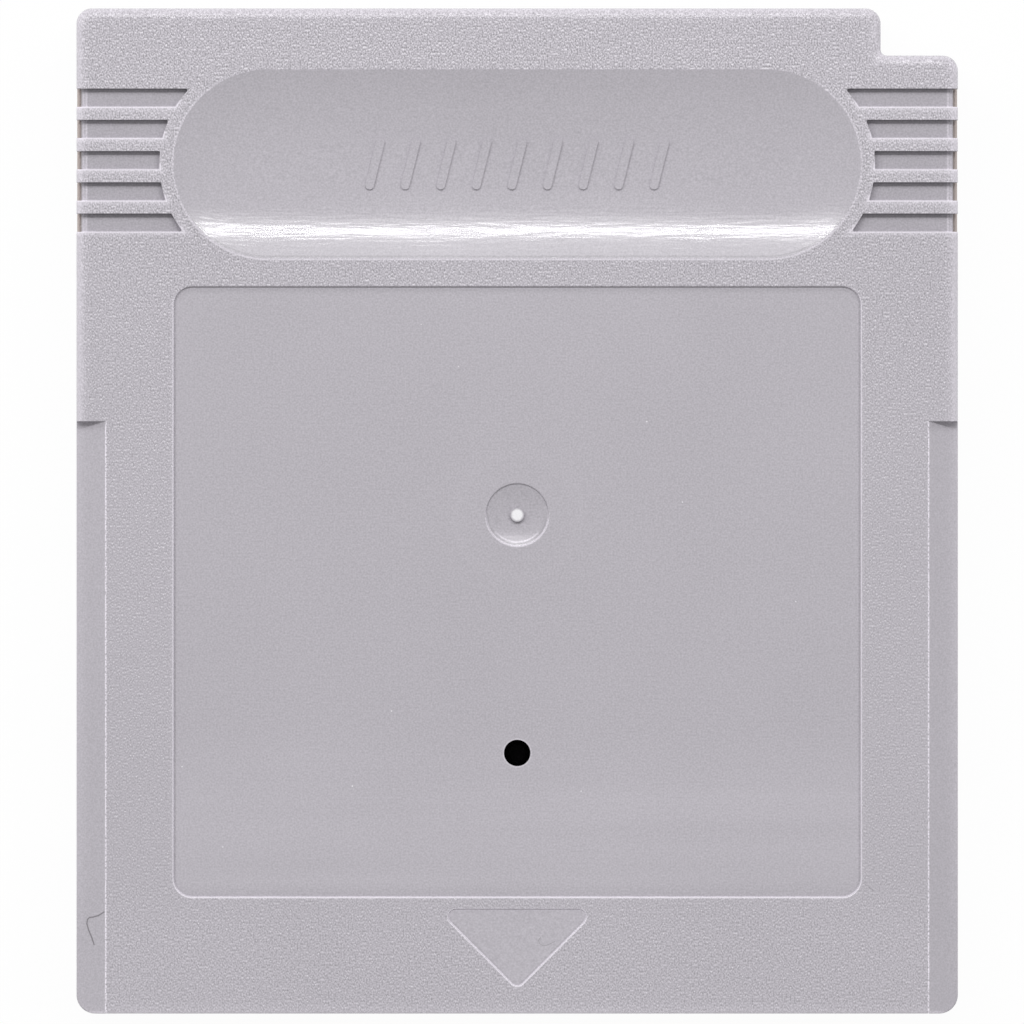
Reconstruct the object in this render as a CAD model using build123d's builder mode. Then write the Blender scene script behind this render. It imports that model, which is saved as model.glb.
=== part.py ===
from build123d import *
import os
from math import floor

# Game cartridge: a moulded case in two halves round a memory board with a row of edge contacts.
# It lies on its back. X runs across it, Y from the contacts to the thumb recess, Z from back to front.
# The origin is the centre of the back face. All sizes are in millimetres.

# Case
case_width = 57.0
case_height = 65.0
case_thickness = 7.8
rear_depth = 3.4  # from the back to the plane where the two halves meet
wall = 1.5
front_panel = 1.6
rear_panel = 1.3
bottom_corner_radius = 1.2
top_corner_radius = 1.0
edge_radius = 0.6  # round the front and back faces
bottom_edge_radius = 0.2  # front face, along the mouth
rim_radius = 0.1  # round the recesses and along the sloping strips
parting_bevel = 0.15
height_slack = 0.01  # allowed where edges are chosen by their height

# Notch in one top corner, which the console's switch slides into
notch_width = 5.0
notch_height = 3.05
notch_inner_radius = 0.4

# Thumb recess: a long hollow, round across its length and at both ends
thumb_side_gap = 6.3
thumb_top_gap = 3.95
thumb_height = 12.2
thumb_depth = 1.05
thumb_wall = 1.2  # left behind the deepest line of its floor

# Slanting bars that stand up from the thumb recess's floor
bar_count = 9
bar_pitch = 2.3
bar_length = 3.4
bar_width = 0.55
bar_lean = 14.0  # degrees from upright
bar_rise = 0.15

# Label recess, below the thumb recess
label_side_gap = 6.3
label_thumb_gap = 1.85
label_bottom_gap = 7.55
label_depth = 0.2
label_corner_radius = 1.2

# Grooves across both sides, beside the thumb recess
groove_count = 5
groove_pitch = 2.02
groove_width = 1.18
groove_depth = 0.5
groove_offset = 0.23  # middle of the group above the middle of the thumb recess
groove_end_gap = 0.93  # left between the grooves and the thumb recess's ends
groove_side_cut = 0.32  # how far they cut into the case's sides
groove_floor_radius = 0.35
groove_corner_radius = 0.12

# Sloping strips along the lower sides, which the console's slot guides
strip_length = 38.3
strip_width = 1.9
strip_drop = 1.0

# Gate mark in the label recess, where the plastic entered the mould
gate_offset = -0.25  # from the middle of the case's height
gate_radius = 2.0
gate_depth = 0.4
gate_rim_depth = 0.12
gate_nub_radius = 0.45
gate_nub_height = 0.3

# Arrow that shows which way the cartridge goes in
arrow_width = 10.3
arrow_height = 5.15
arrow_tip_gap = 1.6
arrow_corner_radius = 0.5
arrow_depth = 0.12

# Screw from the back, into a boss whose pilot hole comes out in the label recess
screw_from_bottom = 16.85
pilot_diameter = 1.72
front_boss_wall = 1.64
rear_boss_wall = 1.0
screw_seat = 1.2  # plastic under the screw's head
head_recess = 0.3
head_diameter = 4.6
head_clearance = 0.2
flange_height = 0.5
drive_diameter = 3.8
drive_height = 0.8
drive_notch_count = 6
drive_notch_radius = 0.5
shank_length = 3.4
shank_clearance = 0.03
shank_tip_bevel = 0.3

# Circuit board, carried by ribs of the front half and held down by posts of the rear half
board_thickness = 0.8
board_side_gap = 1.5
board_bottom_inset = 1.3
board_top_gap = 0.3
board_corner_radius = 0.5
board_edge_bevel = 0.2
board_hole_clearance = 0.25
rib_height = 0.8
rib_width = 1.0
rib_inset = 3.5  # from the board's side to the middle of the rib
post_diameter = 1.8
post_inset = 1.5  # from the board's side
post_top_inset = 2.0
post_contact_gap = 2.2
peg_diameter = 2.0
peg_clearance = 0.15
peg_past_board = 0.4
peg_from_top = 22.0

# Edge contacts on the back of the board
contact_pitch = 1.5
contact_width = 1.0
contact_length = 6.5
contact_thickness = 0.05
contact_inset = 0.3
contact_side_margin = 1.6

# Mouth of the case and the window over the contacts
mouth_clearance = 0.3
window_side_margin = 0.9
window_top_margin = 0.6
window_corner_radius = 1.0
dust_wall = 1.0

# Lips and hooks of the front half that reach into the rear half
fit_clearance = 0.1
lip_thickness = 0.8
lip_depth = 0.9
lip_root = 1.5
lip_end_gap = 8.0
hook_spacing = 24.0
hook_width = 5.0
hook_thickness = 1.2
hook_floor_gap = 0.3
hook_nose_length = 0.6
hook_nose_height = 0.8

# Chips on the back of the board: moulded bodies with a row of bent leads on both long sides
chip_standoff = 0.1
chip_edge_bevel = 0.2
chip_mark_radius = 0.6
chip_mark_inset = 1.5
chip_mark_depth = 0.1
lead_pitch = 1.27
lead_width = 0.4
lead_thickness = 0.2
lead_shoulder = 0.5
part_side_margin = 3.0  # from the board's sides
part_top_margin = 0.8
part_gap = 1.2
part_contact_gap = 4.0
program_chip_length = 20.8
program_chip_width = 11.3
program_chip_height = 2.2
program_chip_span = 14.2
program_chip_leads_per_side = 16
bank_chip_length = 15.3
bank_chip_width = 7.5
bank_chip_height = 2.0
bank_chip_span = 10.3
bank_chip_leads_per_side = 12
save_chip_length = 18.1
save_chip_width = 8.4
save_chip_height = 2.0
save_chip_span = 11.8
save_chip_leads_per_side = 14
save_chip_boss_gap = 0.9
power_chip_length = 5.0
power_chip_width = 4.4
power_chip_height = 1.5
power_chip_span = 6.2
power_chip_leads_per_side = 4
power_chip_boss_gap = 0.8
power_chip_offset = 1.0

# Coin cell and its two welded tabs
cell_diameter = 16.0
cell_height = 1.6
cell_cap_diameter = 13.0
cell_cap_height = 0.3
cell_edge_radius = 0.2
tab_thickness = 0.2
tab_width = 4.0
tab_weld_reach = 3.0  # past the middle of the cell
minus_tab_reach = 2.0  # past the cell's rim
plus_tab_leg_gap = 0.5
plus_tab_foot = 1.4

# Capacitors and resistors, by turns in one row above the contacts
small_part_pairs = 3
small_part_pitch = 3.2
small_part_length = 2.0
small_part_width = 1.25
small_part_end = 0.4
small_part_step = 0.05  # how far the metal ends stand proud
capacitor_height = 0.9
resistor_height = 0.5

# Places worked out from the sizes above
half_width = case_width / 2
half_height = case_height / 2
notch_x = half_width - notch_width
notch_y = half_height - notch_height
front_depth = case_thickness - rear_depth
front_inner_z = case_thickness - front_panel
thumb_width = case_width - 2 * thumb_side_gap
thumb_y = half_height - thumb_top_gap - thumb_height / 2
thumb_run = thumb_width - thumb_height  # its straight part, between the rounded ends
thumb_floor_radius = ((thumb_height / 2) ** 2 + thumb_depth**2) / (2 * thumb_depth)
thumb_axis_z = case_thickness - thumb_depth + thumb_floor_radius
label_width = case_width - 2 * label_side_gap
label_top = thumb_y - thumb_height / 2 - label_thumb_gap
label_bottom = -half_height + label_bottom_gap
label_floor_z = case_thickness - label_depth
groove_y = thumb_y + groove_offset
groove_floor_z = case_thickness - groove_depth
gate_sag = gate_depth - gate_rim_depth
gate_floor_radius = (gate_radius**2 + gate_sag**2) / (2 * gate_sag)
arrow_tip_y = -half_height + arrow_tip_gap
screw_y = -half_height + screw_from_bottom
head_height = drive_height + flange_height
head_seat_z = head_recess + head_height
boss_meet_z = head_seat_z + screw_seat
front_boss_diameter = pilot_diameter + 2 * front_boss_wall
head_bore_diameter = head_diameter + 2 * head_clearance
rear_boss_diameter = head_bore_diameter + 2 * rear_boss_wall
board_front_z = front_inner_z - rib_height
board_back_z = board_front_z - board_thickness
board_width = case_width - 2 * wall - 2 * board_side_gap
board_bottom = -half_height + board_bottom_inset
board_top = thumb_y - thumb_height / 2 - thumb_wall - board_top_gap
board_height = board_top - board_bottom
board_y = (board_top + board_bottom) / 2
peg_y = board_top - peg_from_top
contact_row = board_width - 2 * contact_side_margin - contact_width
contact_count = floor(contact_row / contact_pitch) + 1
contact_span = (contact_count - 1) * contact_pitch + contact_width
contact_bottom = board_bottom + contact_inset
contact_top = contact_bottom + contact_length
post_x = board_width / 2 - post_inset
mouth_width = board_width + 2 * mouth_clearance
window_width = contact_span + 2 * window_side_margin
window_top = contact_top + window_top_margin
inner_side_x = half_width - wall
inner_top_y = half_height - wall
hook_bottom_z = rear_panel + hook_floor_gap
parts_left = -board_width / 2 + part_side_margin
parts_right = board_width / 2 - part_side_margin
parts_top = board_top - part_top_margin
program_chip_x = parts_left + program_chip_length / 2
program_chip_y = parts_top - program_chip_span / 2
bank_chip_x = parts_left + bank_chip_length / 2
bank_chip_y = program_chip_y - (program_chip_span + bank_chip_span) / 2 - part_gap
save_chip_x = rear_boss_diameter / 2 + save_chip_boss_gap + save_chip_length / 2
save_chip_y = contact_top + part_contact_gap + save_chip_span / 2
power_chip_y = screw_y + rear_boss_diameter / 2 + power_chip_boss_gap + power_chip_span / 2
cell_x = parts_right - cell_diameter / 2
cell_y = parts_top - cell_diameter / 2
cell_top_z = board_back_z - tab_thickness
cell_bottom_z = cell_top_z - cell_height
small_part_y = contact_top + part_contact_gap + small_part_width / 2


# Corners of the case's outline: the place and radius of each
top_corners = [
    ((-half_width, half_height), top_corner_radius),
    ((notch_x, half_height), top_corner_radius),
    ((notch_x, notch_y), notch_inner_radius),
    ((half_width, notch_y), top_corner_radius),
]
bottom_corners = [
    ((-half_width, -half_height), bottom_corner_radius),
    ((half_width, -half_height), bottom_corner_radius),
]


def case_outline(plane, inset, rounded_corners):
    """The case's outline with its corner notch, on a plane, moved inwards by inset."""
    with BuildSketch(plane, mode=Mode.PRIVATE) as outline:
        Rectangle(case_width - 2 * inset, case_height - 2 * inset)
        with Locations((half_width, half_height)):
            Rectangle(2 * (notch_width + inset), 2 * (notch_height + inset), mode=Mode.SUBTRACT)
        for place, radius in rounded_corners:
            fillet(outline.vertices().sort_by_distance(place)[0], radius)
    return outline.sketch


def save(builder, name):
    """Label a finished piece and write it to its own file."""
    builder.part.label = name
    export_step(builder.part, f"parts/{name}.step")


os.makedirs("parts", exist_ok=True)

# What the thumb recess takes out of the front half: a long round-ended bar, less the grip bars
with BuildPart() as thumb_bars:
    with BuildSketch(Plane.XY.offset(case_thickness)):
        with Locations((0, thumb_y)):
            with GridLocations(bar_pitch, bar_length, bar_count, 1):
                SlotOverall(bar_length, bar_width, rotation=90 - bar_lean)
    extrude(amount=-thumb_depth - thumb_wall)
    with Locations((0, thumb_y, thumb_axis_z)):
        Cylinder(thumb_floor_radius - bar_rise, case_width, rotation=(0, 90, 0), mode=Mode.SUBTRACT)

with BuildPart() as thumb_hollow:
    with BuildSketch(Plane.XZ.offset(-thumb_y)):
        thumb_length = thumb_run + 2 * thumb_floor_radius
        with Locations((0, thumb_axis_z)):
            SlotOverall(thumb_length, 2 * thumb_floor_radius)
            Rectangle(
                thumb_length,
                2 * thumb_floor_radius,
                align=(Align.CENTER, Align.MIN),
                mode=Mode.SUBTRACT,
            )
    revolve(axis=Axis((0, thumb_y, thumb_axis_z), (1, 0, 0)))
    add(thumb_bars.part, mode=Mode.SUBTRACT)

# What the gate mark takes out: a shallow round dish, less the nub in its middle
with BuildPart() as gate_hollow:
    with BuildSketch(Plane.XY.offset(label_floor_z)):
        with Locations((0, gate_offset)):
            Circle(gate_radius)
    extrude(amount=-2 * gate_depth)
    with Locations((0, gate_offset, label_floor_z - gate_depth + gate_floor_radius)):
        Sphere(gate_floor_radius, mode=Mode.INTERSECT)
    with BuildSketch(Plane.XY.offset(label_floor_z - gate_depth + gate_nub_height)):
        with Locations((0, gate_offset)):
            Circle(gate_nub_radius)
    extrude(amount=-gate_depth, mode=Mode.SUBTRACT)

with BuildPart() as front_shell:
    # Block with rounded front edges, sloping strips on the lower sides and a bevel where the halves meet
    extrude(case_outline(Plane.XY.offset(rear_depth), 0, top_corners), amount=front_depth)
    fillet(front_shell.faces().sort_by(Axis.Z)[-1].edges().sort_by(Axis.Y)[1:], edge_radius)
    with BuildSketch(Plane.XZ.offset(half_height)):
        for side in (-1, 1):
            with BuildLine():
                Polyline(
                    (side * (half_width - strip_width), case_thickness),
                    (side * half_width, case_thickness),
                    (side * half_width, case_thickness - strip_drop),
                    close=True,
                )
            make_face()
    extrude(amount=-strip_length, mode=Mode.SUBTRACT)
    fillet(front_shell.edges().filter_by(Axis.Z).group_by(Axis.Y)[0], bottom_corner_radius)
    fillet(front_shell.faces().sort_by(Axis.Z)[-1].edges().sort_by(Axis.Y)[0], bottom_edge_radius)
    front_side_edges = front_shell.faces().sort_by(Axis.Z)[-1].edges().filter_by(Axis.Y)
    fillet(front_side_edges.group_by(Axis.Y)[0], rim_radius)
    chamfer(front_shell.faces().sort_by(Axis.Z)[0].edges(), parting_bevel)

    # Inside, the wall behind the thumb recess, and the mouth at the bottom
    front_cavity = case_outline(Plane.XY.offset(rear_depth), wall, [])
    extrude(front_cavity, amount=front_inner_z - rear_depth, mode=Mode.SUBTRACT)
    with BuildSketch(Plane.XY.offset(front_inner_z)):
        with Locations((0, thumb_y)):
            SlotOverall(thumb_width + 2 * thumb_wall, thumb_height + 2 * thumb_wall)
    extrude(amount=front_panel - thumb_depth - thumb_wall)
    with BuildSketch(Plane.XY.offset(rear_depth)):
        with Locations((0, -half_height)):
            Rectangle(mouth_width, 2 * wall)
    extrude(amount=front_inner_z - rear_depth, mode=Mode.SUBTRACT)

    # Screw boss, ribs under the board and pegs beside it
    with BuildSketch(Plane.XY.offset(front_inner_z)):
        with Locations((0, screw_y)):
            Circle(front_boss_diameter / 2)
    extrude(amount=boss_meet_z - front_inner_z)
    with BuildSketch(Plane.XY.offset(front_inner_z)):
        with Locations((0, (contact_top + board_top) / 2)):
            with GridLocations(board_width - 2 * rib_inset, board_height, 2, 1):
                Rectangle(rib_width, board_top - contact_top)
        with Locations((0, contact_top)):
            Rectangle(board_width - 2 * rib_inset, rib_width, align=(Align.CENTER, Align.MIN))
    extrude(amount=-rib_height)
    with BuildSketch(Plane.XY.offset(front_inner_z)):
        with Locations((0, peg_y)):
            with GridLocations(board_width, peg_diameter, 2, 1):
                Circle(peg_diameter / 2)
    extrude(amount=board_back_z - peg_past_board - front_inner_z)

    # Lips along the sides and hooks at the top, set in from the rear half's walls by the fit clearance
    lip_length = case_height - 2 * lip_end_gap
    with BuildSketch(Plane.XY.offset(rear_depth + lip_root)):
        with GridLocations(2 * inner_side_x - lip_thickness, lip_length, 2, 1):
            Rectangle(lip_thickness, lip_length)
    extrude(amount=-lip_root)
    with BuildSketch(Plane.XY.offset(rear_depth)):
        with GridLocations(2 * inner_side_x - lip_thickness - fit_clearance, lip_length, 2, 1):
            Rectangle(lip_thickness - fit_clearance, lip_length)
    extrude(amount=-lip_depth)
    hook_back_y = inner_top_y - fit_clearance
    with BuildSketch(Plane.XY.offset(front_inner_z)):
        with Locations((0, inner_top_y)):
            with GridLocations(hook_spacing, hook_thickness, 2, 1):
                Rectangle(hook_width, hook_thickness + fit_clearance, align=(Align.CENTER, Align.MAX))
    extrude(amount=rear_depth - front_inner_z)
    with BuildSketch(Plane.XY.offset(rear_depth)):
        with Locations((0, hook_back_y)):
            with GridLocations(hook_spacing, hook_thickness, 2, 1):
                Rectangle(hook_width, hook_thickness, align=(Align.CENTER, Align.MAX))
    extrude(amount=hook_bottom_z - rear_depth)
    with BuildSketch(Plane.XY.offset(hook_bottom_z)):
        with Locations((0, hook_back_y)):
            with GridLocations(hook_spacing, hook_thickness, 2, 1):
                Rectangle(hook_width, hook_nose_length, align=(Align.CENTER, Align.MIN))
    extrude(amount=hook_nose_height)

    # Label recess and arrow with softened rims, and the thumb recess
    with BuildSketch(Plane.XY.offset(case_thickness)):
        with Locations((0, (label_top + label_bottom) / 2)):
            RectangleRounded(label_width, label_top - label_bottom, label_corner_radius)
    extrude(amount=-label_depth, mode=Mode.SUBTRACT)
    with BuildSketch(Plane.XY.offset(case_thickness)) as arrow_plan:
        with BuildLine():
            Polyline(
                (0, arrow_tip_y),
                (arrow_width / 2, arrow_tip_y + arrow_height),
                (-arrow_width / 2, arrow_tip_y + arrow_height),
                close=True,
            )
        make_face()
        fillet(arrow_plan.vertices(), arrow_corner_radius)
    extrude(amount=-arrow_depth, mode=Mode.SUBTRACT)
    front_face = front_shell.faces().sort_by(Axis.Z)[-1]
    fillet(front_face.inner_wires().edges(), rim_radius)
    add(thumb_hollow.part, mode=Mode.SUBTRACT)

    # Gate mark with a softened rim, and pilot hole in the label recess
    add(gate_hollow.part, mode=Mode.SUBTRACT)
    label_floor = front_shell.faces().sort_by_distance((0, screw_y, label_floor_z))[0]
    fillet(label_floor.inner_wires().edges(), rim_radius)
    with Locations((0, screw_y, label_floor_z)):
        Hole(pilot_diameter / 2)

    # Side grooves, which end on an arc round the thumb recess and run out through the sides
    with BuildSketch(Plane.XY.offset(case_thickness)) as groove_plan:
        with Locations((0, groove_y)):
            with GridLocations(case_width, groove_pitch, 1, groove_count):
                Rectangle(2 * case_width, groove_width)
        with Locations((0, thumb_y)):
            SlotOverall(
                thumb_width + 2 * groove_end_gap,
                thumb_height + 2 * groove_end_gap,
                mode=Mode.SUBTRACT,
            )
        inner_corners = groove_plan.vertices().filter_by(lambda corner: abs(corner.X) < half_width)
        fillet(inner_corners, groove_corner_radius)
    extrude(amount=-groove_depth, mode=Mode.SUBTRACT)
    with BuildSketch(Plane.XY.offset(rear_depth)):
        with Locations((0, groove_y)):
            with GridLocations(case_width, groove_pitch, 2, groove_count):
                Rectangle(2 * groove_side_cut, groove_width)
    extrude(amount=front_depth, mode=Mode.SUBTRACT)
    across_edges = front_shell.edges().filter_by(Axis.Y)
    outer_floor_edges = across_edges.filter_by_position(
        Axis.Z, groove_floor_z - height_slack, groove_floor_z + height_slack
    )
    fillet(outer_floor_edges, groove_floor_radius)
save(front_shell, "front_shell")

with BuildPart() as rear_shell:
    # Tray with a rounded back edge and a fine bevel where the halves meet
    extrude(case_outline(Plane.XY, 0, top_corners + bottom_corners), amount=rear_depth)
    fillet(rear_shell.faces().sort_by(Axis.Z)[0].edges(), edge_radius)
    chamfer(rear_shell.faces().sort_by(Axis.Z)[-1].edges(), parting_bevel)
    rear_cavity = case_outline(Plane.XY.offset(rear_panel), wall, [])
    extrude(rear_cavity, amount=rear_depth, mode=Mode.SUBTRACT)

    # Window over the contacts, open at the mouth, with a wall above it that keeps dust from the chips
    with BuildSketch(Plane.XY) as window_plan:
        with Locations((0, window_top)):
            Rectangle(window_width, window_top + case_height, align=(Align.CENTER, Align.MAX))
        fillet(window_plan.vertices().group_by(Axis.Y)[-1], window_corner_radius)
    extrude(amount=rear_depth, mode=Mode.SUBTRACT)
    with BuildSketch(Plane.XY.offset(rear_panel)):
        with Locations((0, window_top)):
            Rectangle(window_width, dust_wall, align=(Align.CENTER, Align.MIN))
    extrude(amount=board_back_z - fit_clearance - rear_panel)

    # Screw boss with a sunk seat for the screw's head
    with BuildSketch(Plane.XY.offset(boss_meet_z)):
        with Locations((0, screw_y)):
            Circle(rear_boss_diameter / 2)
    extrude(amount=rear_panel - boss_meet_z)
    with BuildSketch(Plane.XY):
        with Locations((0, screw_y)):
            Circle(head_bore_diameter / 2)
    extrude(amount=head_seat_z, mode=Mode.SUBTRACT)
    with BuildSketch(Plane.XY):
        with Locations((0, screw_y)):
            Circle(pilot_diameter / 2)
    extrude(amount=boss_meet_z, mode=Mode.SUBTRACT)

    # Posts that hold the board down, and pockets for the hooks
    for post_y in (board_top - post_top_inset, contact_top + post_contact_gap):
        with BuildSketch(Plane.XY.offset(rear_panel)):
            with Locations((0, post_y)):
                with GridLocations(2 * post_x, post_diameter, 2, 1):
                    Circle(post_diameter / 2)
        extrude(amount=board_back_z - rear_panel)
    with BuildSketch(Plane.XY.offset(hook_bottom_z - fit_clearance)):
        with Locations((0, inner_top_y)):
            with GridLocations(hook_spacing, hook_thickness, 2, 1):
                Rectangle(hook_width + 2 * fit_clearance, 2 * hook_nose_length)
    extrude(amount=hook_nose_height + 2 * fit_clearance, mode=Mode.SUBTRACT)
save(rear_shell, "rear_shell")

with BuildPart() as case_screw:
    with BuildSketch(Plane.XY.offset(head_recess)):
        with Locations((0, screw_y)):
            Circle(drive_diameter / 2)
            with PolarLocations(drive_diameter / 2, drive_notch_count):
                Circle(drive_notch_radius, mode=Mode.SUBTRACT)
    extrude(amount=drive_height)
    with BuildSketch(Plane.XY.offset(head_recess + drive_height)):
        with Locations((0, screw_y)):
            Circle(head_diameter / 2)
    extrude(amount=flange_height)
    with BuildSketch(Plane.XY.offset(head_seat_z)):
        with Locations((0, screw_y)):
            Circle(pilot_diameter / 2 - shank_clearance)
    extrude(amount=shank_length)
    chamfer(case_screw.faces().sort_by(Axis.Z)[-1].edges(), shank_tip_bevel)
save(case_screw, "case_screw")

with BuildPart() as circuit_board:
    with BuildSketch(Plane.XY.offset(board_back_z)):
        with Locations((0, board_y)):
            RectangleRounded(board_width, board_height, board_corner_radius)
        with Locations((0, screw_y)):
            Circle(front_boss_diameter / 2 + board_hole_clearance, mode=Mode.SUBTRACT)
        with Locations((0, peg_y)):
            with GridLocations(board_width, peg_diameter, 2, 1):
                Circle(peg_diameter / 2 + peg_clearance, mode=Mode.SUBTRACT)
    extrude(amount=board_thickness)
    contact_end = circuit_board.faces().sort_by(Axis.Y)[0]
    chamfer(contact_end.edges().filter_by(Axis.X), board_edge_bevel)
save(circuit_board, "circuit_board")

with BuildPart() as edge_contacts:
    with BuildSketch(Plane.XY.offset(board_back_z)):
        with Locations((0, (contact_bottom + contact_top) / 2)):
            with GridLocations(contact_pitch, contact_length, contact_count, 1):
                Rectangle(contact_width, contact_length)
    extrude(amount=-contact_thickness)
save(edge_contacts, "edge_contacts")


def make_chip(name, x, y, length, width, height):
    """A moulded chip body under the board, with a round mark beside its first lead."""
    chip_top_z = board_back_z - chip_standoff
    with BuildPart() as chip:
        with BuildSketch(Plane.XY.offset(chip_top_z)):
            with Locations((x, y)):
                Rectangle(length, width)
        extrude(amount=-height)
        outer_face = chip.faces().sort_by(Axis.Z)[0]
        chamfer(outer_face.edges(), chip_edge_bevel)
        with BuildSketch(Plane.XY.offset(chip_top_z - height)):
            with Locations((x - length / 2 + chip_mark_inset, y - width / 2 + chip_mark_inset)):
                Circle(chip_mark_radius)
        extrude(amount=chip_mark_depth, mode=Mode.SUBTRACT)
    save(chip, name)


def make_leads(name, x, y, width, height, span, leads_per_side):
    """The bent leads of a chip: out of its long sides, up to the board and flat along it."""
    shoulder_z = board_back_z - chip_standoff - height / 2
    leg_y = width / 2 + lead_shoulder
    with BuildPart() as lead:
        with BuildSketch(Plane.YZ):
            with Locations((width / 2, shoulder_z)):
                Rectangle(lead_shoulder, lead_thickness, align=(Align.MIN, Align.MIN))
            with Locations((leg_y, board_back_z)):
                Rectangle(lead_thickness, board_back_z - shoulder_z, align=(Align.MIN, Align.MAX))
                Rectangle(span / 2 - leg_y, lead_thickness, align=(Align.MIN, Align.MAX))
        extrude(amount=lead_width / 2, both=True)
    with BuildPart() as leads:
        with Locations((x, y)):
            with PolarLocations(0, 2):
                with GridLocations(lead_pitch, lead_pitch, leads_per_side, 1):
                    add(lead.part)
    save(leads, name)


make_chip(
    "program_chip",
    program_chip_x,
    program_chip_y,
    program_chip_length,
    program_chip_width,
    program_chip_height,
)
make_leads(
    "program_chip_leads",
    program_chip_x,
    program_chip_y,
    program_chip_width,
    program_chip_height,
    program_chip_span,
    program_chip_leads_per_side,
)
make_chip(
    "bank_chip",
    bank_chip_x,
    bank_chip_y,
    bank_chip_length,
    bank_chip_width,
    bank_chip_height,
)
make_leads(
    "bank_chip_leads",
    bank_chip_x,
    bank_chip_y,
    bank_chip_width,
    bank_chip_height,
    bank_chip_span,
    bank_chip_leads_per_side,
)
make_chip(
    "save_chip",
    save_chip_x,
    save_chip_y,
    save_chip_length,
    save_chip_width,
    save_chip_height,
)
make_leads(
    "save_chip_leads",
    save_chip_x,
    save_chip_y,
    save_chip_width,
    save_chip_height,
    save_chip_span,
    save_chip_leads_per_side,
)
make_chip(
    "power_chip",
    power_chip_offset,
    power_chip_y,
    power_chip_length,
    power_chip_width,
    power_chip_height,
)
make_leads(
    "power_chip_leads",
    power_chip_offset,
    power_chip_y,
    power_chip_width,
    power_chip_height,
    power_chip_span,
    power_chip_leads_per_side,
)

with BuildPart() as coin_cell:
    with BuildSketch(Plane.XY.offset(cell_bottom_z)):
        with Locations((cell_x, cell_y)):
            Circle(cell_diameter / 2)
    extrude(amount=cell_height - cell_cap_height)
    fillet(coin_cell.edges(), cell_edge_radius)
    with BuildSketch(Plane.XY.offset(cell_top_z)):
        with Locations((cell_x, cell_y)):
            Circle(cell_cap_diameter / 2)
    extrude(amount=-cell_cap_height)
save(coin_cell, "coin_cell")

with BuildPart() as cell_tab_minus:
    with BuildSketch(Plane.XY.offset(board_back_z)):
        with Locations((cell_x + tab_weld_reach, cell_y)):
            Rectangle(
                tab_weld_reach + cell_diameter / 2 + minus_tab_reach,
                tab_width,
                align=(Align.MAX, Align.CENTER),
            )
    extrude(amount=-tab_thickness)
save(cell_tab_minus, "cell_tab_minus")

with BuildPart() as cell_tab_plus:
    leg_x = cell_x + cell_diameter / 2 + plus_tab_leg_gap
    with BuildSketch(Plane.XZ.offset(-cell_y)):
        with Locations((cell_x - tab_weld_reach, cell_bottom_z)):
            Rectangle(leg_x - cell_x + tab_weld_reach, tab_thickness, align=(Align.MIN, Align.MAX))
        with Locations((leg_x, board_back_z)):
            Rectangle(
                tab_thickness,
                board_back_z - cell_bottom_z + tab_thickness,
                align=(Align.MIN, Align.MAX),
            )
            Rectangle(plus_tab_foot, tab_thickness, align=(Align.MIN, Align.MAX))
    extrude(amount=tab_width / 2, both=True)
save(cell_tab_plus, "cell_tab_plus")


def make_small_part(name, x, y, height):
    """A capacitor or resistor: a fired block whose two metal ends stand a little proud."""
    end_x = (small_part_length - small_part_end) / 2
    with BuildPart() as small_part:
        with BuildSketch(Plane.XY.offset(board_back_z - small_part_step)):
            with Locations((x, y)):
                Rectangle(small_part_length, small_part_width - 2 * small_part_step)
        extrude(amount=-height + 2 * small_part_step)
        with BuildSketch(Plane.XY.offset(board_back_z)):
            with Locations((x - end_x, y), (x + end_x, y)):
                Rectangle(small_part_end, small_part_width)
        extrude(amount=-height)
    save(small_part, name)


for index in range(small_part_pairs):
    capacitor_x = parts_left + small_part_length / 2 + 2 * index * small_part_pitch
    resistor_x = capacitor_x + small_part_pitch
    make_small_part(f"capacitor_{index + 1}", capacitor_x, small_part_y, capacitor_height)
    make_small_part(f"resistor_{index + 1}", resistor_x, small_part_y, resistor_height)
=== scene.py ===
"""Finishes, floor, lights and camera for the game cartridge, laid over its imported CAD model."""

import math

import bpy
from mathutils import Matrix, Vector


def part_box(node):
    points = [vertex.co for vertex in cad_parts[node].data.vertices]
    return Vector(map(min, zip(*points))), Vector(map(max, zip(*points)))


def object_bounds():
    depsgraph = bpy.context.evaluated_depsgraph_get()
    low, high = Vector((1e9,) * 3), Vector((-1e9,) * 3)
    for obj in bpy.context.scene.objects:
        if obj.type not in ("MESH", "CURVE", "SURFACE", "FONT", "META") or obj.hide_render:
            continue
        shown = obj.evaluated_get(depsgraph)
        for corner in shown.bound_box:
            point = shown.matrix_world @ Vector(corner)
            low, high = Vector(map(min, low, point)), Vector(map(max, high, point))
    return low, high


bl_info = {
    "name": "Game cartridge",
    "version": (1, 0, 0),
    "blender": (4, 5, 0),
    "location": "3D View > Sidebar > Cartridge",
    "description": "Gives each piece of the game cartridge its finish and sets up the studio round it",
    "category": "Material",
}

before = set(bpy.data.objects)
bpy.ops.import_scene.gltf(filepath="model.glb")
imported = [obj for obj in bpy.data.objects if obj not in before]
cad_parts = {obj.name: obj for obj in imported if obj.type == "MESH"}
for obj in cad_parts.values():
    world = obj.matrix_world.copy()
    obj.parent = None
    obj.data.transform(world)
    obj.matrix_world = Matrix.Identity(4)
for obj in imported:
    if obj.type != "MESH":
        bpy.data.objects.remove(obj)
cad_low, cad_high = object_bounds()
front_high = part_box("front_shell")[1]
board_low, board_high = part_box("circuit_board")
contacts_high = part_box("edge_contacts")[1]
screw_low, screw_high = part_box("case_screw")
cell_low, cell_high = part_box("coin_cell")

MM = 0.001
CHIPS = ("program_chip", "bank_chip", "save_chip", "power_chip")

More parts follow.
